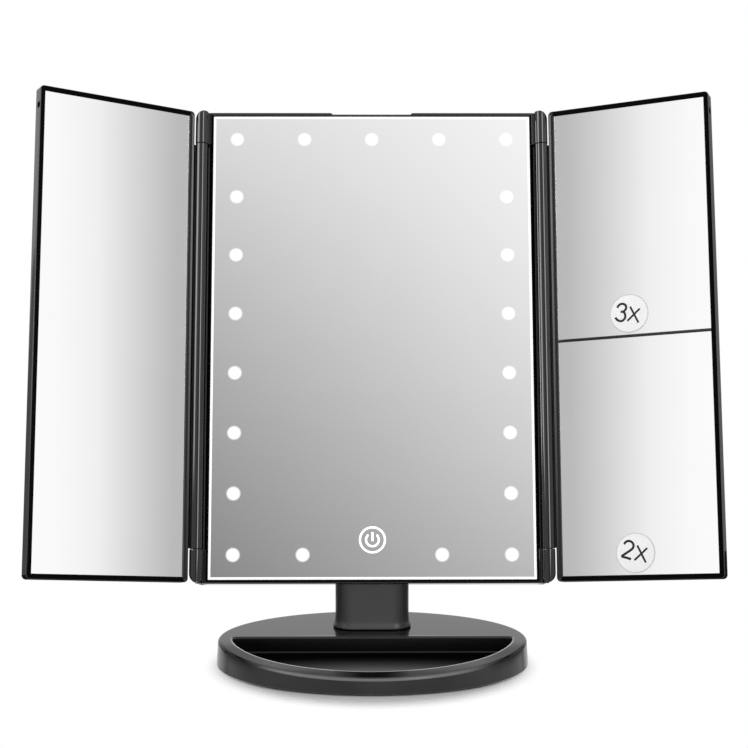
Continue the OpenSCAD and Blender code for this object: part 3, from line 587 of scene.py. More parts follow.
def soft_ends(low, high, radius):
    """Insets and levels of rows from low to high, with a quarter round at each end."""
    return ([(radius * (1 - s), low + radius * (1 - c)) for s, c in quarter(3)]
            + [(radius * (1 - c), high - radius * (1 - s)) for s, c in quarter(3)])


def round_rect(half_x, half_y, radius, steps):
    """Points round a rectangle with round corners."""
    radius = min(radius, half_x, half_y)
    points = []
    for sx, sy, start in ((1, 1, 0), (-1, 1, 90), (-1, -1, 180), (1, -1, 270)):
        centre = (sx * (half_x - radius), sy * (half_y - radius))
        points += arc(radius, start, start + 90, centre, steps)
    return points


def block(bm, low, high, radius):
    """Box with round edges between two corners."""
    low, high = Vector(low), Vector(high)
    mid, half = (low + high) / 2, (high - low) / 2
    loft(bm, [[(mid.x + x, mid.y + y, z) for x, y in round_rect(half.x - inset, half.y - inset, radius, 3)]
              for inset, z in soft_ends(low.z, high.z, radius)])


def rod(bm, x, y, radius, low, high, reach=None):
    """Upright round rod with soft ends; reach limits how far out it goes at each height."""
    edge, count, levels = 0.12 * MM, 48, 24
    heights = [(z, radius - inset) for inset, z in soft_ends(low, high, edge)]
    if reach:
        between = [low + (high - low) / levels * i for i in range(1, levels)]
        heights = sorted(set(heights) | {(z, radius) for z in between if low + edge < z < high - edge})
    side = 1 if x >= 0 else -1
    loops = []
    for z, r in heights:
        limit = reach(z) if reach else math.inf
        ring = arc(r, 0, 360 * (count - 1) / count, (abs(x), y), count - 1)
        loops.append([(side * min(out, limit), depth, z) for out, depth in ring])
    loft(bm, loops)


def side_plate(bm, inside, outside, heights, depths, corners):
    """Upright plate along one side of a leaf, with two round outer corners and soft edges."""
    side, edge = math.copysign(1, outside), 0.4 * MM

    def outline(inset, depth):
        points = [(inside, heights[0] + inset)]
        for end, corner, way in ((heights[0], corners[0], 1), (heights[1], corners[1], -1)):
            kept = corner - inset
            points += [(outside - side * (corner - kept * s), end + way * (corner - kept * c))
                       for s, c in quarter(8)[::way]]
        points.append((inside, heights[1] - inset))
        return [(x, depth, z) for x, z in points]

    loft(bm, [outline(inset, depth) for inset, depth in soft_ends(*depths, edge)])


# Finishes of a frame: its sides, its front face and its flat top
FRAME_FINISHES = "smooth_frame frame_face satin_shell"
SIDE, FACE, TOP = range(3)
# Rows of a frame's section between which its front face lies
FACE_ROWS = 4, 8


def lip_section(width, front, back, outer, inner, marks):
    """Section of a frame as (inset, depth) points: round outer and inner edges, and marks down its side."""
    section = [(outer * (1 - c), front + outer * (1 - s)) for s, c in quarter(4)]
    section += [(width - inner * (1 - s), front + inner * (1 - c)) for s, c in quarter(2)]
    section += [(width - inner * (1 - c), back - inner * (1 - s)) for s, c in quarter(2)]
    section += [(outer * (1 - s), back - outer * (1 - c)) for s, c in quarter(4)]
    return section + [(0.0, mark) for mark in sorted(marks, reverse=True)]


def frame_ring(bm, left, right, bottom, top, corner, section, top_marks=(), left_marks=(), right_marks=()):
    """Sweeps a section round a rectangle, its front face with the second finish; marks add points along
    the top edge and the sides."""
    loops = []
    for inset, depth in section:
        r, k = max(corner - inset, 0.0), max(corner, inset)
        loop = arc(r, 0, 90, (right - k, top - k), 6)
        loop += [(x, top - inset) for x in sorted(top_marks, reverse=True)]
        loop += arc(r, 90, 180, (left + k, top - k), 6)
        loop += [(left + inset, z) for z in sorted(left_marks, reverse=True)]
        loop += arc(r, 180, 270, (left + k, bottom + k), 6)
        loop += arc(r, 270, 360, (right - k, bottom + k), 6)
        loop += [(right - inset, z) for z in sorted(right_marks)]
        loops.append([(x, depth, z) for x, z in loop])
    loft(bm, loops, ring=True, finishes=zip(FACE_ROWS, (FACE, SIDE)))


def add_piece(name, bm, place, body, slot, material, *nodes):
    """Turns a mesh in a leaf's frame into a piece that rides on a body and may stand for CAD nodes."""
    same = 1e-7
    bmesh.ops.remove_doubles(bm, verts=bm.verts, dist=same)
    bmesh.ops.dissolve_degenerate(bm, edges=bm.edges, dist=same)
    bm.transform(place)
    bm.normal_update()
    bmesh.ops.recalc_face_normals(bm, faces=bm.faces)
    mesh = bpy.data.meshes.new(name)
    bm.to_mesh(mesh)
    bm.free()
    return add_mesh(name, mesh, body, slot, material, *nodes)


def add_mesh(name, mesh, body, slot, material, *nodes, sharp=40):
    """Links a mesh that is already in place as a piece of the object."""
    if not mesh.polygons:
        raise RuntimeError(name + " has no faces")
    mesh.polygons.foreach_set("use_smooth", [True] * len(mesh.polygons))
    mesh.set_sharp_from_angle(angle=math.radians(sharp))
    if not mesh.materials:
        for key in material.split():
            mesh.materials.append(finish(key))
    piece = add_object(name, mesh)
    piece.modifiers.new("even_normals", "WEIGHTED_NORMAL").keep_sharp = True
    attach(piece, body)
    if nodes:
        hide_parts(*nodes)
    return piece


def softened(node, width):
    """Merged copy of a CAD node's mesh with its edges rounded."""
    same, flat, crease, shortest = 2e-6, math.radians(0.5), math.radians(35), 2.2 * width
    bm = bmesh.new()
    bm.from_mesh(NODES[node].data)
    bmesh.ops.remove_doubles(bm, verts=bm.verts, dist=same)
    bmesh.ops.dissolve_limit(bm, angle_limit=flat, verts=bm.verts, edges=bm.edges)
    edges = [e for e in bm.edges if e.is_manifold and e.calc_face_angle(0.0) > crease
             and e.calc_length() > shortest]
    bmesh.ops.bevel(bm, geom=edges, offset=width, offset_type="OFFSET", segments=2, profile=0.5,
                    affect="EDGES", clamp_overlap=True)
    return bm


def drawn_lines(name, lines, height, place, body, slot, material):
    """Printed lines, each (points as (across, up), width, closed), pressed flat on a face at depth zero."""
    curve = bpy.data.curves.new(name, "CURVE")
    curve.dimensions, curve.bevel_mode = "3D", "ROUND"
    curve.bevel_depth, curve.bevel_resolution, curve.use_fill_caps = 1.0, 2, True
    for points, width, closed in lines:
        line = curve.splines.new("POLY")
        line.points.add(len(points) - 1)
        line.use_cyclic_u = closed
        for point, (x, z) in zip(line.points, points):
            point.co, point.radius = (x, 0, z, 1), width / 2
    source = add_object(name + "_line", curve)
    mesh = plain_mesh(source)
    bpy.data.objects.remove(source)
    bm = bmesh.new()
    bm.from_mesh(mesh)
    bpy.data.meshes.remove(mesh)
    widest = max(width for _, width, _ in lines)
    for v in bm.verts:
        v.co.y *= 2 * height / widest
    return add_piece(name, bm, place, body, slot, material)


def smooth_line(points, steps=6):
    """Points on a smooth curve through the given ones."""
    ends = [points[0], *points, points[-1]]
    line = []
    for span in zip(ends, ends[1:], ends[2:], ends[3:]):
        for i in range(steps):
            t = i / steps
            line.append(tuple(0.5 * (2 * b + (c - a) * t + (2 * a - 5 * b + 4 * c - d) * t * t
                                     + (3 * b - a - 3 * c + d) * t ** 3) for a, b, c, d in zip(*span)))
    return line + [points[-1]]


def arc(radius, first, last, centre=(0.0, 0.0), steps=48):
    """Points round a circle, with angles in degrees from the right-hand side."""
    turns = [math.radians(first + (last - first) * i / steps) for i in range(steps + 1)]
    return [(centre[0] + radius * math.cos(a), centre[1] + radius * math.sin(a)) for a in turns]


# Repeated pieces, set on points by geometry nodes

class CopyTree:
    """A geometry node tree that sets a shape on every point; its inputs give the shape's size and turn."""

    def __init__(self, name):
        self.tree = bpy.data.node_groups.new(name, "GeometryNodeTree")
        add = self.tree.interface.new_socket
        add("Geometry", in_out="INPUT", socket_type="NodeSocketGeometry")
        kinds = {"Width": "NodeSocketFloat", "Height": "NodeSocketFloat", "Turn": "NodeSocketVector"}
        self.ids = {key: add(key, in_out="INPUT", socket_type=kind).identifier for key, kind in kinds.items()}
        add("Geometry", in_out="OUTPUT", socket_type="NodeSocketGeometry")
        self.given = self.tree.nodes.new("NodeGroupInput").outputs
        self.result = self.tree.nodes.new("NodeGroupOutput").inputs[0]

    def add(self, kind, settings=(), values=(), out=0):
        node = self.tree.nodes.new(kind)
        for key, setting in dict(settings).items():
            setattr(node, key, setting)
        for key, value in dict(values).items():
            for one in (value if isinstance(value, list) else [value]):
                if isinstance(one, bpy.types.NodeSocket):
                    self.tree.links.new(one, node.inputs[key])
                else:
                    node.inputs[key].default_value = one
        return node.outputs[out]

    def times(self, value, factor):
        return self.add("ShaderNodeMath", {"operation": "MULTIPLY"}, {0: value, 1: factor})

    def vector(self, *parts):
        return self.add("ShaderNodeCombineXYZ", {}, dict(enumerate(parts)))

    def finish(self, shape, material):
        """Sets the shape on every point, makes the copies real and gives them their material."""
        copies = self.add("GeometryNodeInstanceOnPoints", {}, {
            "Points": self.given["Geometry"], "Instance": shape, "Rotation": self.given["Turn"]})
        real = self.add("GeometryNodeRealizeInstances", {}, {"Geometry": copies})
        done = self.add("GeometryNodeSetMaterial", {}, {"Geometry": real, "Material": material})
        self.tree.links.new(done, self.result)

    def run(self, name, points, **values):
        """Runs the tree on points and gives the result as a plain mesh."""
        mesh = bpy.data.meshes.new(name + "_points")
        mesh.from_pydata(points, [], [])
        source = add_object(name + "_points", mesh)
        modifier = source.modifiers.new(name, "NODES")
        modifier.node_group = self.tree
        for key, value in values.items():
            modifier[self.ids[key]] = value
        result = plain_mesh(source)
        source.modifiers.remove(modifier)
        bpy.data.objects.remove(source)
        bpy.data.meshes.remove(mesh)
        return result


def window_tree(material):
    """A low round lens on every point, with its distance from the middle kept as an attribute."""
    tree = CopyTree("light_windows")
    width, height = tree.given["Width"], tree.given["Height"]
    ball = tree.add("GeometryNodeMeshUVSphere", {}, {"Segments": 40, "Rings": 24, "Radius": 0.5})
    spot = tree.add("GeometryNodeInputPosition")
    flat = tree.add("ShaderNodeVectorMath", {"operation": "MULTIPLY"}, {0: spot, 1: (2.0, 2.0, 0.0)})
    reach = tree.add("ShaderNodeVectorMath", {"operation": "LENGTH"}, {0: flat}, out="Value")
    ball = tree.add("GeometryNodeStoreNamedAttribute", {"data_type": "FLOAT", "domain": "POINT"},
                    {"Geometry": ball, "Name": "reach", "Value": reach})
    size = tree.vector(width, width, height)
    tree.finish(tree.add("GeometryNodeTransform", {}, {"Geometry": ball, "Scale": size}), material)
    return tree


def screw_tree(material):
    """A flat screw head with a cross recess on every point."""
    tree = CopyTree("screw_heads")
    width, height = tree.given["Width"], tree.given["Height"]
    # Radii and the bars' sides are shares of the width, and the bars' lift is a share of the height
    head = tree.add("GeometryNodeMeshCone", {}, {
        "Vertices": 32, "Radius Top": tree.times(width, 0.42), "Radius Bottom": tree.times(width, 0.5),
        "Depth": height})
    long, thin = tree.times(width, 0.55), tree.times(width, 0.13)
    up = tree.vector(0.0, 0.0, tree.times(height, 0.95))
    bars = []
    for x, y in ((long, thin), (thin, long)):
        bar = tree.add("GeometryNodeMeshCube", {}, {"Size": tree.vector(x, y, height)})
        bars.append(tree.add("GeometryNodeTransform", {}, {"Geometry": bar, "Translation": up}))
    cross = tree.add("GeometryNodeMeshBoolean", {"operation": "UNION"}, {"Mesh 2": bars})
    cut = tree.add("GeometryNodeMeshBoolean", {"operation": "DIFFERENCE"}, {"Mesh 1": head, "Mesh 2": cross})
    tree.finish(cut, material)
    return tree


# Pieces

class VANITY_OT_base(bpy.types.Operator):
    """Oval base with a sloping front rim, a drafted side and a filleted tray"""

    bl_idname = "vanity.base"
    bl_label = "Base"

    def execute(self, context):
        size = context.scene.vanity_sizes
        draft, rim, edge, fillet = size.base_draft, size.rim_round, size.tray_round, size.tray_fillet
        low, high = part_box("base_shell")
        half_w, half_d, foot, top = high.x, high.y, low.z, high.z
        # The shell's wall and how far up it shows inside, and the chamfer and the round at its foot
        wall, inside_h, chamfer, foot_round = 2.2 * MM, 3 * MM, 0.3 * MM, 0.4 * MM
        # Where the rim starts to fall, how softly, and how high it still is at the front
        flat_to, soft, front = -15 * MM, 3 * MM, 8 * MM
        fall = (top - front) / (half_d + flat_to)
        # The tray's half width, its front and its straight back, its floor, and how far its wall leans
        tray_w, tray_d, tray_back = half_w - 7.9 * MM, half_d - 10.5 * MM, 1.5 * MM
        floor, lean, corner = top - 8.0 * MM, 0.5 * MM, 3.5 * MM
        # The loops run round a point in the tray
        heart, count, shore_steps = -21 * MM, 360, 16

        def oval(a, b, back=None):
            """Points round an oval, seen from the tray's middle and cut straight at the back."""
            points = []
            for i in range(count):
                turn = 2 * math.pi * i / count
                c, s = math.cos(turn), math.sin(turn)
                p, q, r = (c / a) ** 2 + (s / b) ** 2, heart * s / b ** 2, (heart / b) ** 2 - 1
                far = (-q + math.sqrt(q * q - p * r)) / p
                if back is not None and s > 1e-6:
                    cut = (back - heart) / s
                    h = max(0.0, min(1.0, 0.5 + 0.5 * (cut - far) / corner))
                    far = cut + (far - cut) * h - corner * h * (1 - h)
                points.append((far * c, heart + far * s))
            return points

        def outer(inset):
            return oval(half_w - inset, half_d - inset)

        def tray(inset):
            return oval(tray_w - inset, tray_d - inset, tray_back - inset)

        def level(points, z):
            return [(x, y, z) for x, y in points]

        def hung(points, below):
            """Points under the rim, which is level behind and falls smoothly to the front."""
            return [(x, y, top - fall * soft * math.log1p(math.exp((flat_to - y) / soft)) - below)
                    for x, y in points]

        loops = [level(outer(wall), foot + inside_h), level(outer(wall), foot + chamfer),
                 level(outer(wall - chamfer), foot)]
        loops += [level(outer(foot_round * (1 - s)), foot + foot_round * (1 - c)) for s, c in quarter(3)]
        finishes = [(len(loops), 1)]
        loops += [hung(outer(draft + rim * (1 - c)), rim * (1 - s)) for s, c in quarter(6)]
        shore = list(zip(outer(draft + rim), tray(-edge)))
        for i in range(1, shore_steps):
            t = i / shore_steps
            loops.append(hung([(a + (c - a) * t, b + (d - b) * t) for (a, b), (c, d) in shore], 0))
        finishes.append((len(loops) - 1, 2))
        loops += [hung(tray(-edge * (1 - s)), edge * (1 - c)) for s, c in quarter(6)]
        finishes.append((len(loops) - 1, 3))
        loops += [level(tray(lean + fillet * (1 - c)), floor + fillet * (1 - s)) for s, c in quarter(6)]
        finishes.append((len(loops) - 1, 4))
        for t in (0.9, 0.7, 0.4, 0.15):
            loops.append(level([(x * t, heart + (y - heart) * t) for x, y in tray(lean + fillet)], floor))
        bm = bmesh.new()
        loft(bm, loops, finishes=finishes)
        add_piece("base_shell_skin", bm, Matrix(), "stand", "shell_plastic",
                  "base_side base_gloss tray_edge tray_wall tray_floor", "base_shell")
        return {"FINISHED"}


class VANITY_OT_neck(bpy.types.Operator):
    """Neck post with a flared foot that turns into the tilt barrel"""

    bl_idname = "vanity.neck"
    bl_label = "Neck"

    def execute(self, context):
        flare = context.scene.vanity_sizes.collar_flare
        low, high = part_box("neck_post")
        pivot = Vector(JOINTS["head_tilt"]["pos_m"])
        half_w, half_d, foot_h = high.x - 1.0 * MM, 9 * MM, 9 * MM
        # Corner radius of the post and of the barrel, and half the sides of the rib that stops the tilt
        corner, barrel_corner = 8 * MM, 1.2 * MM
        rib_w, rib_d, rib_round = 10 * MM, 1.5 * MM, 0.4 * MM
        # The foot from below: height in millimetres, and how far it spreads as a share of the flare
        foot_rows = ((0.0, -1.2), (0.3, -1.2), (0.34, -0.3), (0.4, 0.86), (0.5, 0.97), (0.75, 1.0),
                     (1.1, 0.97), (1.6, 0.84), (2.0, 0.64), (2.5, 0.4), (3.0, 0.22), (4.0, 0.1),
                     (6.0, 0.03), (9.0, 0.0))
        rows = [(low.z + z * MM, half_w + flare * out, half_d + flare * out, corner + flare * out)
                for z, out in foot_rows]
        post_steps, dome_steps = 12, 15
        for i in range(1, post_steps + 1):
            t = i / post_steps
            z = low.z + foot_h + (pivot.z - low.z - foot_h) * t
            rows.append((z, half_w, half_d, corner + (barrel_corner - corner) * ease((t - 0.55) / 0.3)))
        for s, c in quarter(dome_steps)[1:-1]:
            rows.append((pivot.z + half_d * s, half_w, half_d * c, barrel_corner))
        bm = bmesh.new()
        loft(bm, [[(x, pivot.y + y, z) for x, y in round_rect(a, b, r, 8)] for z, a, b, r in rows])
        block(bm, (-rib_w, pivot.y - rib_d, pivot.z), (rib_w, pivot.y + rib_d, high.z), rib_round)
        add_piece("neck_post_skin", bm, Matrix(), "stand", "shell_plastic", "satin_neck", "neck_post")
        return {"FINISHED"}


class VANITY_OT_centre_frame(bpy.types.Operator):
    """Frame of the middle leaf with its four hinge knuckles and the finger notch"""

    bl_idname = "vanity.centre_frame"
    bl_label = "Middle frame"

    def execute(self, context):
        size = context.scene.vanity_sizes
        _, high = local_box("centre_frame", HEAD)
        glass_low, _ = local_box("mirror_surround", HEAD)
        _, cover_high = local_box("rear_cover", HEAD)
        bezel = glass_low.z - GLASS_AIR
        half_w = -glass_low.x + GLASS_AIR + bezel
        top, back, corner = high.z, high.y, 0.6 * MM
        knuckle_r, barrel_r, low_corner, high_corner = 3.2 * MM, 3.1 * MM, 5.3 * MM, 4.4 * MM
        # A knuckle's web: where it starts behind the face, how far it runs past the flange, and its ends
        web_start, web_past, web_end, web_round = 0.25 * MM, 0.5 * MM, 0.1 * MM, 0.25 * MM
        # How far the side plates stay inside the frame's ends and back
        plate_end, plate_back = 0.05 * MM, 0.02 * MM
        flange = barrel_r - HINGE_FORWARD + HINGE_AIR
        slope_w, slope_d = bezel - size.frame_lip, flange - size.frame_lip
        # Half the notch's width, how long its ends slope, and how deep it goes down and back
        notch, ramp, notch_drop, notch_back, hair = 20 * MM, 1.2 * MM, 0.8 * MM, 5.3 * MM, 0.05 * MM
        # How far below the top the points lie that the notch moves, and the faces that count as the flat top
        notch_band, top_band = 1.2 * MM, 0.2 * MM
        marks = [s * (notch + d * ramp) for s in (-1, 1) for d in (-0.5, -0.25, 0, 0.25, 0.5)]
        ends = (KNUCKLE_H, KNUCKLE_H + HINGE_AIR, top - KNUCKLE_H - HINGE_AIR, top - KNUCKLE_H)
        bm = bmesh.new()
        section = lip_section(bezel, 0.0, back, size.frame_round, size.lip_round,
                              (slope_d, notch_back, notch_back + hair))
        frame_ring(bm, -half_w, half_w, 0.0, top, corner, section, marks, ends, ends)
        for f in bm.faces:
            spot = f.calc_center_median()
            if spot.z > top - bezel:
                flat = spot.y > size.frame_round and spot.z > top - top_band
                f.material_index = TOP if flat else SIDE
        for v in bm.verts:
            if v.co.z > top - notch_band and v.co.y < notch_back + hair / 2:
                v.co.z -= notch_drop * ease((notch + ramp / 2 - abs(v.co.x)) / ramp)
            if ends[0] + HINGE_AIR / 2 < v.co.z < ends[3] - HINGE_AIR / 2 and v.co.y < slope_d:
                limit = half_w - slope_w * (1 - v.co.y / slope_d)
                v.co.x = max(-limit, min(limit, v.co.x))
        for side in (-1, 1):
            inside, axis = side * (half_w - bezel / 2), side * HINGE.x
            for bottom, end, round_r in ((0.0, 0.0, low_corner), (top - KNUCKLE_H, top, high_corner)):
                def reach(z, end=end, round_r=round_r):
                    """How far out the leaf's round corner lets a knuckle go."""
                    near = min(abs(z - end), round_r)
                    return high.x - round_r + math.sqrt(round_r ** 2 - (round_r - near) ** 2)
                rod(bm, axis, -HINGE_FORWARD, knuckle_r, bottom, bottom + KNUCKLE_H, reach)
                block(bm, (min(inside, axis), web_start, bottom + web_end),
                      (max(inside, axis), flange + web_past, bottom + KNUCKLE_H - web_end), web_round)
            side_plate(bm, inside, side * cover_high.x, (plate_end, top - plate_end),
                       (flange, back - plate_back), (low_corner, high_corner))
        add_piece("centre_frame_skin", bm, HEAD, "head", "frame_plastic", FRAME_FINISHES, "centre_frame")
        return {"FINISHED"}


class VANITY_OT_leaf_frames(bpy.types.Operator):
    """Frames of the two side leaves, each with its hinge barrel, web and catch slot"""

    bl_idname = "vanity.leaf_frames"
    bl_label = "Side frames"

    def execute(self, context):
        self.make("left_wing_frame", "left_leaf", LEFT_LEAF, "left_mirror")
        self.make("right_wing_frame", "right_leaf", RIGHT_LEAF, "upper_magnifier", "lower_magnifier")
        return {"FINISHED"}

    def make(self, node, body, place, glass, lower_glass=None):
        """One frame round its glass, with a bar over a lower glass."""
        size = bpy.context.scene.vanity_sizes
        low, high = local_box(node, place)
        glass_low, glass_high = local_box(glass, place)
        bezel = high.x - glass_high.x - GLASS_AIR
        near = glass_low.x - GLASS_AIR - size.hinge_lip
        front, back, corner = glass_low.y - 0.5 * MM, high.y, 2 * MM
        # The hinge web's front, back and air at its ends, and how far a bar lies inside the frame's depth
        foot, web_front, web_back, web_air = KNUCKLE_H + HINGE_AIR, 1.4 * MM, 3.0 * MM, 0.3 * MM
        bar_front, bar_back, bar_round, web_round = 0.1 * MM, 1.6 * MM, 0.2 * MM, 0.25 * MM
        # The catch slot in the outer side
        slot_w, slot_h, slot_z, slot_deep = 3.2 * MM, 2.8 * MM, high.z - 9.5 * MM, 1.2 * MM
        slot_y = front + 0.4 * MM + slot_w / 2
        bm = bmesh.new()
        section = lip_section(bezel, front, back, size.leaf_round, size.lip_round,
                              (slot_y - slot_w / 2, slot_y + slot_w / 2))
        frame_ring(bm, near, high.x, low.z, high.z, corner, section,
                   right_marks=(slot_z - slot_h / 2, slot_z + slot_h / 2))
        # How near a point or a face has to be to count as the inner edge, the flat top or the slot
        about, top_band, slot_band = 0.25 * MM, 0.1 * MM, 0.2 * MM
        for v in bm.verts:
            between = low.z + bezel - about < v.co.z < high.z - bezel + about
            if between and abs(v.co.x - near - bezel) < about:
                v.co.x += size.hinge_lip - bezel
        slot = []
        for f in bm.faces:
            spot = f.calc_center_median()
            if spot.x < near + size.hinge_lip:
                f.material_index = SIDE
            if spot.z > high.z - top_band and spot.y > front + size.leaf_round:
                f.material_index = TOP
            if (spot - Vector((high.x, slot_y, slot_z))).length < slot_band:
                slot.append(f)
        if len(slot) != 1:
            raise RuntimeError("the catch slot of " + node + " has no single face to start from")
        made = bmesh.ops.extrude_face_region(bm, geom=slot)["geom"]
        bmesh.ops.delete(bm, geom=[f for f in slot if f.is_valid], context="FACES_ONLY")
        for item in made:
            if isinstance(item, bmesh.types.BMFace):
                item.material_index = FACE
            if isinstance(item, bmesh.types.BMVert):
                item.co.x -= slot_deep
        if lower_glass:
            _, lower_high = local_box(lower_glass, place)
            block(bm, (near + bezel / 2, front + bar_front, lower_high.z + GLASS_AIR),
                  (high.x - bezel / 2, back - bar_back, glass_low.z - GLASS_AIR), bar_round)
        rod(bm, 0.0, 0.0, -low.x, foot, high.z - foot)
        block(bm, (0.0, web_front, foot + web_air),
              (near + bezel / 2, web_back, high.z - foot - web_air), web_round)
        add_piece(node + "_skin", bm, place, body, "frame_plastic", FRAME_FINISHES, node)


class VANITY_OT_back(bpy.types.Operator):
    """Rear cover, battery door and back panels with softened edges, and the tongue of the power inlet"""

    bl_idname = "vanity.back"
    bl_label = "Back pieces"

    def execute(self, context):
        width = context.scene.vanity_sizes.cover_round
        for node, body in (("rear_cover", "head"), ("battery_door", "door"), ("left_back_panel", "left_leaf"),
                           ("right_back_panel", "right_leaf")):
            bm = softened(node, width)
            add_piece(node + "_skin", bm, Matrix(), body, "shell_plastic", "satin_shell", node)
        low, high = local_box("usb_socket", HEAD)
        mid = (low + high) / 2
        half_w, half_h, root, mouth, tongue_round = 2.6 * MM, 0.35 * MM, 0.5 * MM, 0.9 * MM, 0.1 * MM
        bm = bmesh.new()
        block(bm, (mid.x - half_w, low.y + root, mid.z - half_h),
              (mid.x + half_w, high.y - mouth, mid.z + half_h), tongue_round)
        add_piece("inlet_tongue", bm, HEAD, "head", "shell_plastic", "smooth_frame")
        return {"FINISHED"}


class VANITY_OT_lights(bpy.types.Operator):
    """Light windows round the middle mirror, and the touch mark"""

    bl_idname = "vanity.lights"
    bl_label = "Lights and touch mark"

    def execute(self, context):
        size = context.scene.vanity_sizes
        low, high = local_box("mirror_surround", HEAD)
        glass_low, _ = local_box("centre_mirror", HEAD)
        face, mid = glass_low.y, (low.z + high.z) / 2
        far_x = high.x + GLASS_AIR - size.light_margin
        far_z = (high.z - low.z) / 2 + GLASS_AIR - size.light_margin
        rows, columns = size.light_rows, size.light_columns
        spots = [(s * far_x, mid - far_z + 2 * far_z * r / (rows - 1)) for r in range(rows) for s in (-1, 1)]
        for c in range(1, columns - 1):
            x = -far_x + 2 * far_x * c / (columns - 1)
            spots += [(x, mid + far_z)] + ([(x, mid - far_z)] if abs(x) > MM else [])
        points = [HEAD @ Vector((x, face, z)) for x, z in spots]
        turn = Vector((math.pi / 2 - rest_angle("head_tilt"), 0, 0))
        tree = window_tree(finish("light_window"))
        mesh = tree.run("light_windows", points, Width=size.window_width, Height=2 * size.window_height,
                        Turn=turn)
        add_mesh("light_windows", mesh, "head", "led_chip", "light_window")

        # The touch mark: a ring, an open bow and an upright stroke round a point above the glass's foot
        mark_up, ring_r, bow_r, stroke = 21.1 * MM, 6.05 * MM, 3.1 * MM, (-0.6 * MM, 1.6 * MM, 3.7 * MM)
        place = Matrix.Translation(HEAD @ Vector((0, face, mark_up))) @ HEAD.to_3x3().to_4x4()
        lines = [(arc(ring_r, 0, 357.5), size.mark_line, True), (arc(bow_r, 130, 410), size.mark_line, False),
                 ([(0.0, z) for z in stroke], size.mark_line, False)]
        drawn_lines("touch_mark", lines, size.ink_height, place, "head", "led_chip", "touch_light")
        return {"FINISHED"}


class VANITY_OT_labels(bpy.types.Operator):
    """Edge rings and digits of the two magnification labels"""

    bl_idname = "vanity.labels"
    bl_label = "Labels"

    def execute(self, context):
        size = context.scene.vanity_sizes
        # Strokes of the digits and of the x, in millimetres from a label's middle
        three = (((-5.9, 3.2), (-4.75, 4.55), (-3.4, 4.95), (-2.0, 4.45), (-1.35, 3.15), (-1.8, 1.95),
                  (-3.0, 1.05), (-4.2, 1.15)),
                 ((-3.6, 1.1), (-2.6, 0.75), (-2.0, -0.5), (-2.1, -2.1), (-3.25, -3.3), (-4.5, -3.5),
                  (-5.95, -2.8), (-6.9, -1.6)))
        two = (((-5.4, 4.2), (-4.45, 5.3), (-3.0, 5.65), (-1.6, 5.05), (-0.85, 3.75), (-1.15, 2.3),
                (-2.6, 1.1), (-4.65, -0.15), (-6.9, -1.55)),
               ((-6.9, -1.55), (-4.6, -2.2), (-2.2, -3.0)))
        cross = (((0.6, 3.25), (4.5, -4.95)), ((5.35, 1.9), (-0.95, -3.7)))
        ring_line, ring_in, cross_share = 0.5 * MM, 0.2 * MM, 0.85
        for node, digit, shift in (("upper_label", three, (0, 0)), ("lower_label", two, (0.4, 0.2))):
            low, high = local_box(node, RIGHT_LEAF)
            centre = Vector(((low.x + high.x) / 2, low.y, (low.z + high.z) / 2))
            place = RIGHT_LEAF @ Matrix.Translation(centre)
            lines = []
            for strokes, (dx, dz), steps, width in ((digit, (0, 0), 6, 1.0), (cross, shift, 4, cross_share)):
                for stroke in strokes:
                    points = [((x + dx) * MM, (z + dz) * MM) for x, z in stroke]
                    lines.append((smooth_line(points, steps), size.digit_line * width, False))
            ring = arc((high.x - low.x) / 2 - ring_in, 0, 356.25, steps=96)
            for end, drawn, ink in (("_digits", lines, "printed_ink"),
                                    ("_edge", [(ring, ring_line, True)], "label_edge")):
                drawn_lines(node + end, drawn, size.ink_height, place, "right_leaf", "label_film", ink)
        return {"FINISHED"}


class VANITY_OT_screws(bpy.types.Operator):
    """Cross-head screws of the rear cover"""

    bl_idname = "vanity.screws"
    bl_label = "Screws"

    def execute(self, context):
        low, high = local_box("rear_cover_screws", HEAD)
        radius, height, rows = 2.3 * MM, 1.2 * MM, 3
        xs = (low.x + radius, high.x - radius)
        zs = [low.z + radius + (high.z - low.z - 2 * radius) * k / (rows - 1) for k in range(rows)]
        points = [HEAD @ Vector((x, high.y - height, z)) for x in xs for z in zs]
        turn = Vector((-math.pi / 2 - rest_angle("head_tilt"), 0, 0))
        name = "rear_cover_screw_heads"
        tree = screw_tree(finish("plated_steel"))
        mesh = tree.run(name, points, Width=2 * radius, Height=height, Turn=turn)
        add_mesh(name, mesh, "head", "steel", "plated_steel", "rear_cover_screws", sharp=30)
        return {"FINISHED"}


class VANITY_OT_inner_finishes(bpy.types.Operator):
    """Finishes of the pieces that keep their CAD shape"""

    bl_idname = "vanity.inner_finishes"
    bl_label = "Finishes of other pieces"

    def execute(self, context):
        finishes = {
            "satin_shell": "base_bottom_cover board_header",
            "pad_rubber": "base_pad",
            "plated_steel": "ballast_plate base_screws neck_screws tilt_axle tilt_washer tilt_nut usb_socket",
            "blackened_steel": "hinge_pins",
            "natural_nylon": "tilt_bushes",
            "white_border": "mirror_surround",
            "silvered_glass": "centre_mirror left_mirror upper_magnifier lower_magnifier",
            "light_sheet": "light_sheet",
            "circuit_board": "led_board control_board",
            "light_window": "leds",
            "spring_brass": "touch_sensor battery_plates battery_springs",
            "cell_sleeve": "battery_cells",
            "wire_sleeve": "battery_wires",
            "mounting_foam": "left_mirror_pad right_mirror_pads",
            "label_film": "upper_label lower_label",
        }
        for key, nodes in finishes.items():
            for node in nodes.split():
                NODES[node].data.materials.clear()
                NODES[node].data.materials.append(finish(key))
        return {"FINISHED"}


# Stage

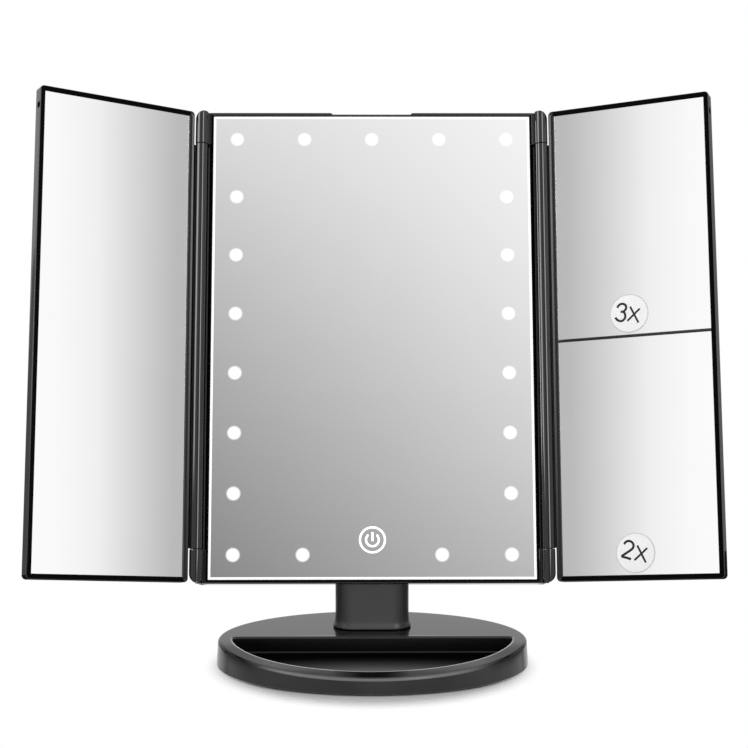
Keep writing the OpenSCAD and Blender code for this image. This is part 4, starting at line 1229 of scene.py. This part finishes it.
def glow_card(name, corners, uvs, levels):
    """Panel that only reflections show; levels(shader, across, up) gives its brightness over its UV map."""
    mesh = bpy.data.meshes.new(name)
    mesh.from_pydata(corners, [], [(0, 1, 2, 3)])
    layer = mesh.uv_layers.new(name="seen")
    for loop, uv in zip(layer.data, uvs):
        loop.uv = uv
    card = add_object(name, mesh)
    material = bpy.data.materials.new(name)
    material.use_nodes = True
    shader = Shader(material.node_tree)
    across, up, _ = shader.axes(shader.node("ShaderNodeUVMap", {"uv_map": "seen"}))
    glow = shader.node("ShaderNodeEmission", {}, {"Strength": levels(shader, across, up)})
    shader.node("ShaderNodeOutputMaterial", {}, {"Surface": glow})
    mesh.materials.append(material)
    for ray in ("camera", "diffuse", "transmission", "volume_scatter", "shadow"):
        setattr(card, "visible_" + ray, False)


def strip_card(name, place, aim, width, height, level, even):
    """Panel that glossy edges and sides show, even or brightest in its middle."""
    turn = (Vector(aim) - Vector(place)).to_track_quat("Z", "Y").to_matrix()
    uvs = ((0, 0), (1, 0), (1, 1), (0, 1))
    corners = [Vector(place) + turn @ Vector(((s - 0.5) * width, (t - 0.5) * height, 0)) for s, t in uvs]
    glow_card(name, corners, uvs, lambda shader, s, t: level if even else 4 * level * s * (1 - s))


def reflection_card(name, place, glass_box, distance, camera, levels, beside=0.02):
    """Panel parallel to a mirror, with a UV map that runs over what the camera sees in the mirror. It reaches
    past the mirror's first side by beside and a little past the others, as shares of the mirror."""
    edge = 0.02
    low, high = glass_box
    eye = place.inverted() @ camera
    spread = distance / (low.y - eye.y)
    uvs = ((-beside, -edge), (1 + edge, -edge), (1 + edge, 1 + edge), (-beside, 1 + edge))
    corners = []
    for s, t in uvs:
        x, z = low.x + (high.x - low.x) * s, low.z + (high.z - low.z) * t
        corners.append(place @ Vector((x + (x - eye.x) * spread, low.y - distance, z + (z - eye.z) * spread)))
    glow_card(name, corners, uvs, levels)


def display(level):
    """Light level that a mirror shows as the given share of white."""
    darkest, gamma, reflectance = 0.03, 2.2, 0.9
    return level.most(darkest) ** gamma / reflectance


def fade_out(look, reach, near, far):
    """Lets a floor fade into the background between two shares of an oval's reach, so its grey stays only
    round the object as a painted shadow halo, over the real shadow that it keeps.
    """
    glossy = look.node("ShaderNodeLightPath", out="Is Glossy Ray")
    away = look.oval_share((0.0, 0.0), reach).smooth(near, far).most(glossy)
    clear = look.node("ShaderNodeBsdfTransparent")
    mixed = look.node("ShaderNodeMixShader", {}, {0: away, 1: look.surface, 2: clear})
    connect(look.tree, look.output.inputs["Surface"], mixed)


class VANITY_OT_stage(bpy.types.Operator):
    """Pale floor with a painted shadow halo round the base, soft light, panels for the mirrors to show, and
    the camera
    """

    bl_idname = "vanity.stage"
    bl_label = "Stage"

    def execute(self, context):
        scene, stage = context.scene, context.scene.vanity_stage
        scene.view_settings.view_transform = "Standard"
        self.camera(scene, stage)
        self.ground(stage)
        self.light(scene, stage)
        self.cards(stage)
        return {"FINISHED"}

    def camera(self, scene, stage):
        lens = bpy.data.cameras.new("camera")
        lens.lens, lens.sensor_width = stage.lens, 36.0
        lens.clip_start, lens.clip_end = 0.01, 50.0
        camera = add_object("camera", lens)
        camera.location = stage.camera_place
        camera.rotation_euler = (math.pi / 2 - stage.camera_down, 0, -stage.camera_turn)
        scene.camera = camera

    def ground(self, stage):
        half, reach = 6.0, (70 * MM, 70 * MM)
        mesh = bpy.data.meshes.new("ground")
        corners = [(-half, -half, 0), (half, -half, 0), (half, half, 0), (-half, half, 0)]
        mesh.from_pydata(corners, [], [(0, 1, 2, 3)])
        paper = Finish("ground", Roughness=0.9, Specular_IOR_Level=0.1)
        # The floor's grey near the base is a painted shadow halo; fade_out turns it into the white background
        # further out
        paper.set(Base_Color=paper.mix(*shades(stage.ground_shade_tint, 0.995, 1.005), paper.noise(6, 2)))
        fade_out(paper, reach, near=0.93, far=1.18)
        mesh.materials.append(paper.material)
        add_object("ground", mesh)

    def light(self, scene, stage):
        scene.world = bpy.data.worlds.new("studio")
        scene.world.use_nodes = True
        sky = Shader(scene.world.node_tree)
        rays = ("Is Camera Ray", "Is Glossy Ray", "Is Transmission Ray")
        straight, glossy, clear = sky.node("ShaderNodeLightPath", out=rays)
        level = stage.fill + straight.most(glossy).most(clear) * (1 - stage.fill)
        glow = sky.node("ShaderNodeBackground", {}, {"Color": (1, 1, 1, 1), "Strength": level})
        sky.node("ShaderNodeOutputWorld", {}, {"Surface": glow})

        panel = bpy.data.lights.new("overhead_panel", "AREA")
        panel.shape, panel.size, panel.size_y, panel.energy = "RECTANGLE", 1.2, 0.9, stage.key_power
        add_object("overhead_panel", panel).location = (0.0, -0.05, 1.3)

    def cards(self, stage):
        """Panels for edges and mirrors to show."""
        # Middle, aim, width, height, brightness, and whether the brightness is even
        strips = {
            "left_flag": ((-0.985, 0.605, 0.2), (0, 0, 0.15), 0.15, 1.4, stage.flag_level, True),
            "right_flag": ((0.784, 0.81, 0.2), (0, 0, 0.15), 0.15, 1.4, stage.flag_level, True),
            "left_floor_flag": ((-0.305, 0.13, 0.001), (-0.305, 0.13, 1), 0.4, 0.36, stage.floor_level, True),
            "right_floor_flag": ((0.305, 0.13, 0.001), (0.305, 0.13, 1), 0.4, 0.36, stage.floor_level, True),
            "top_strip": ((0.0, 0.0, 1.25), (0, 0, 0), 1.2, 0.9, stage.top_level, True),
            "left_strip": ((-0.91, -0.42, 0.65), (0, 0, 0.2), 0.66, 0.65, stage.strip_level, False),
            "right_strip": ((0.47, -0.88, 0.65), (0, 0, 0.2), 0.42, 0.65, stage.strip_level, False),
        }
        for name, strip in strips.items():
            strip_card(name, *strip)

        def middle(shader, s, t):
            """Lighter upwards and to the right."""
            return display(0.535 + 0.185 * s + 0.325 * t + 0.03 * s * t - 0.12 * s * t * t)

        def side(shader, s, t):
            """Lighter from the hinge outwards, with a glow beside the hinge for the frame's lip."""
            tone = shader.node("ShaderNodeValToRGB", {"stops": (
                (0.0, 0.70), (0.2, 0.725), (0.4, 0.83), (0.6, 0.935), (0.8, 0.975), (1.0, 0.985))},
                {"Fac": s * (1.12 - 0.12 * t) * 0.714 + 0.143})
            lip = s.between(-reach, 0.0) * (0.1 + 0.8 * t).most(0.06).least(0.75)
            return s.between(0, 2) * display(tone) + lip * stage.lip_level

        eye, reach = Vector(stage.camera_place), 0.4
        reflection_card("middle_card", HEAD, local_box("centre_mirror", HEAD), 1.15, eye, middle)
        glass_box = local_box("left_mirror", LEFT_LEAF)
        for name, place in (("left_card", LEFT_LEAF), ("right_card", RIGHT_LEAF)):
            reflection_card(name, place, glass_box, 1.1, eye, side, beside=reach)


class VANITY_PT_panel(bpy.types.Panel):
    """Lists the pieces in the order in which they are made"""

    bl_idname = "VANITY_PT_panel"
    bl_label = "Lighted vanity mirror"
    bl_space_type = "VIEW_3D"
    bl_region_type = "UI"
    bl_category = "Mirror"

    def draw(self, context):
        for group in GROUPS:
            box = self.layout.box()
            data = getattr(context.scene, group)
            for key in data.__annotations__:
                box.prop(data, key)
        for operator in STEPS:
            self.layout.operator(operator.bl_idname)


GROUPS = {"vanity_sizes": VanitySizes, "vanity_finishes": VanityFinishes, "vanity_stage": VanityStage}
STEPS = (VANITY_OT_base, VANITY_OT_neck, VANITY_OT_centre_frame, VANITY_OT_leaf_frames, VANITY_OT_back,
         VANITY_OT_lights, VANITY_OT_labels, VANITY_OT_screws, VANITY_OT_inner_finishes, VANITY_OT_stage)
CLASSES = (*GROUPS.values(), *STEPS, VANITY_PT_panel)


def register():
    for made in CLASSES:
        bpy.utils.register_class(made)
    for key, group in GROUPS.items():
        setattr(bpy.types.Scene, key, PointerProperty(type=group))


def unregister():
    for key in GROUPS:
        delattr(bpy.types.Scene, key)
    for made in reversed(CLASSES):
        bpy.utils.unregister_class(made)


def main():
    register()
    for operator in STEPS:
        group, name = operator.bl_idname.split(".")
        getattr(getattr(bpy.ops, group), name)()


if __name__ == "__main__":
    main()
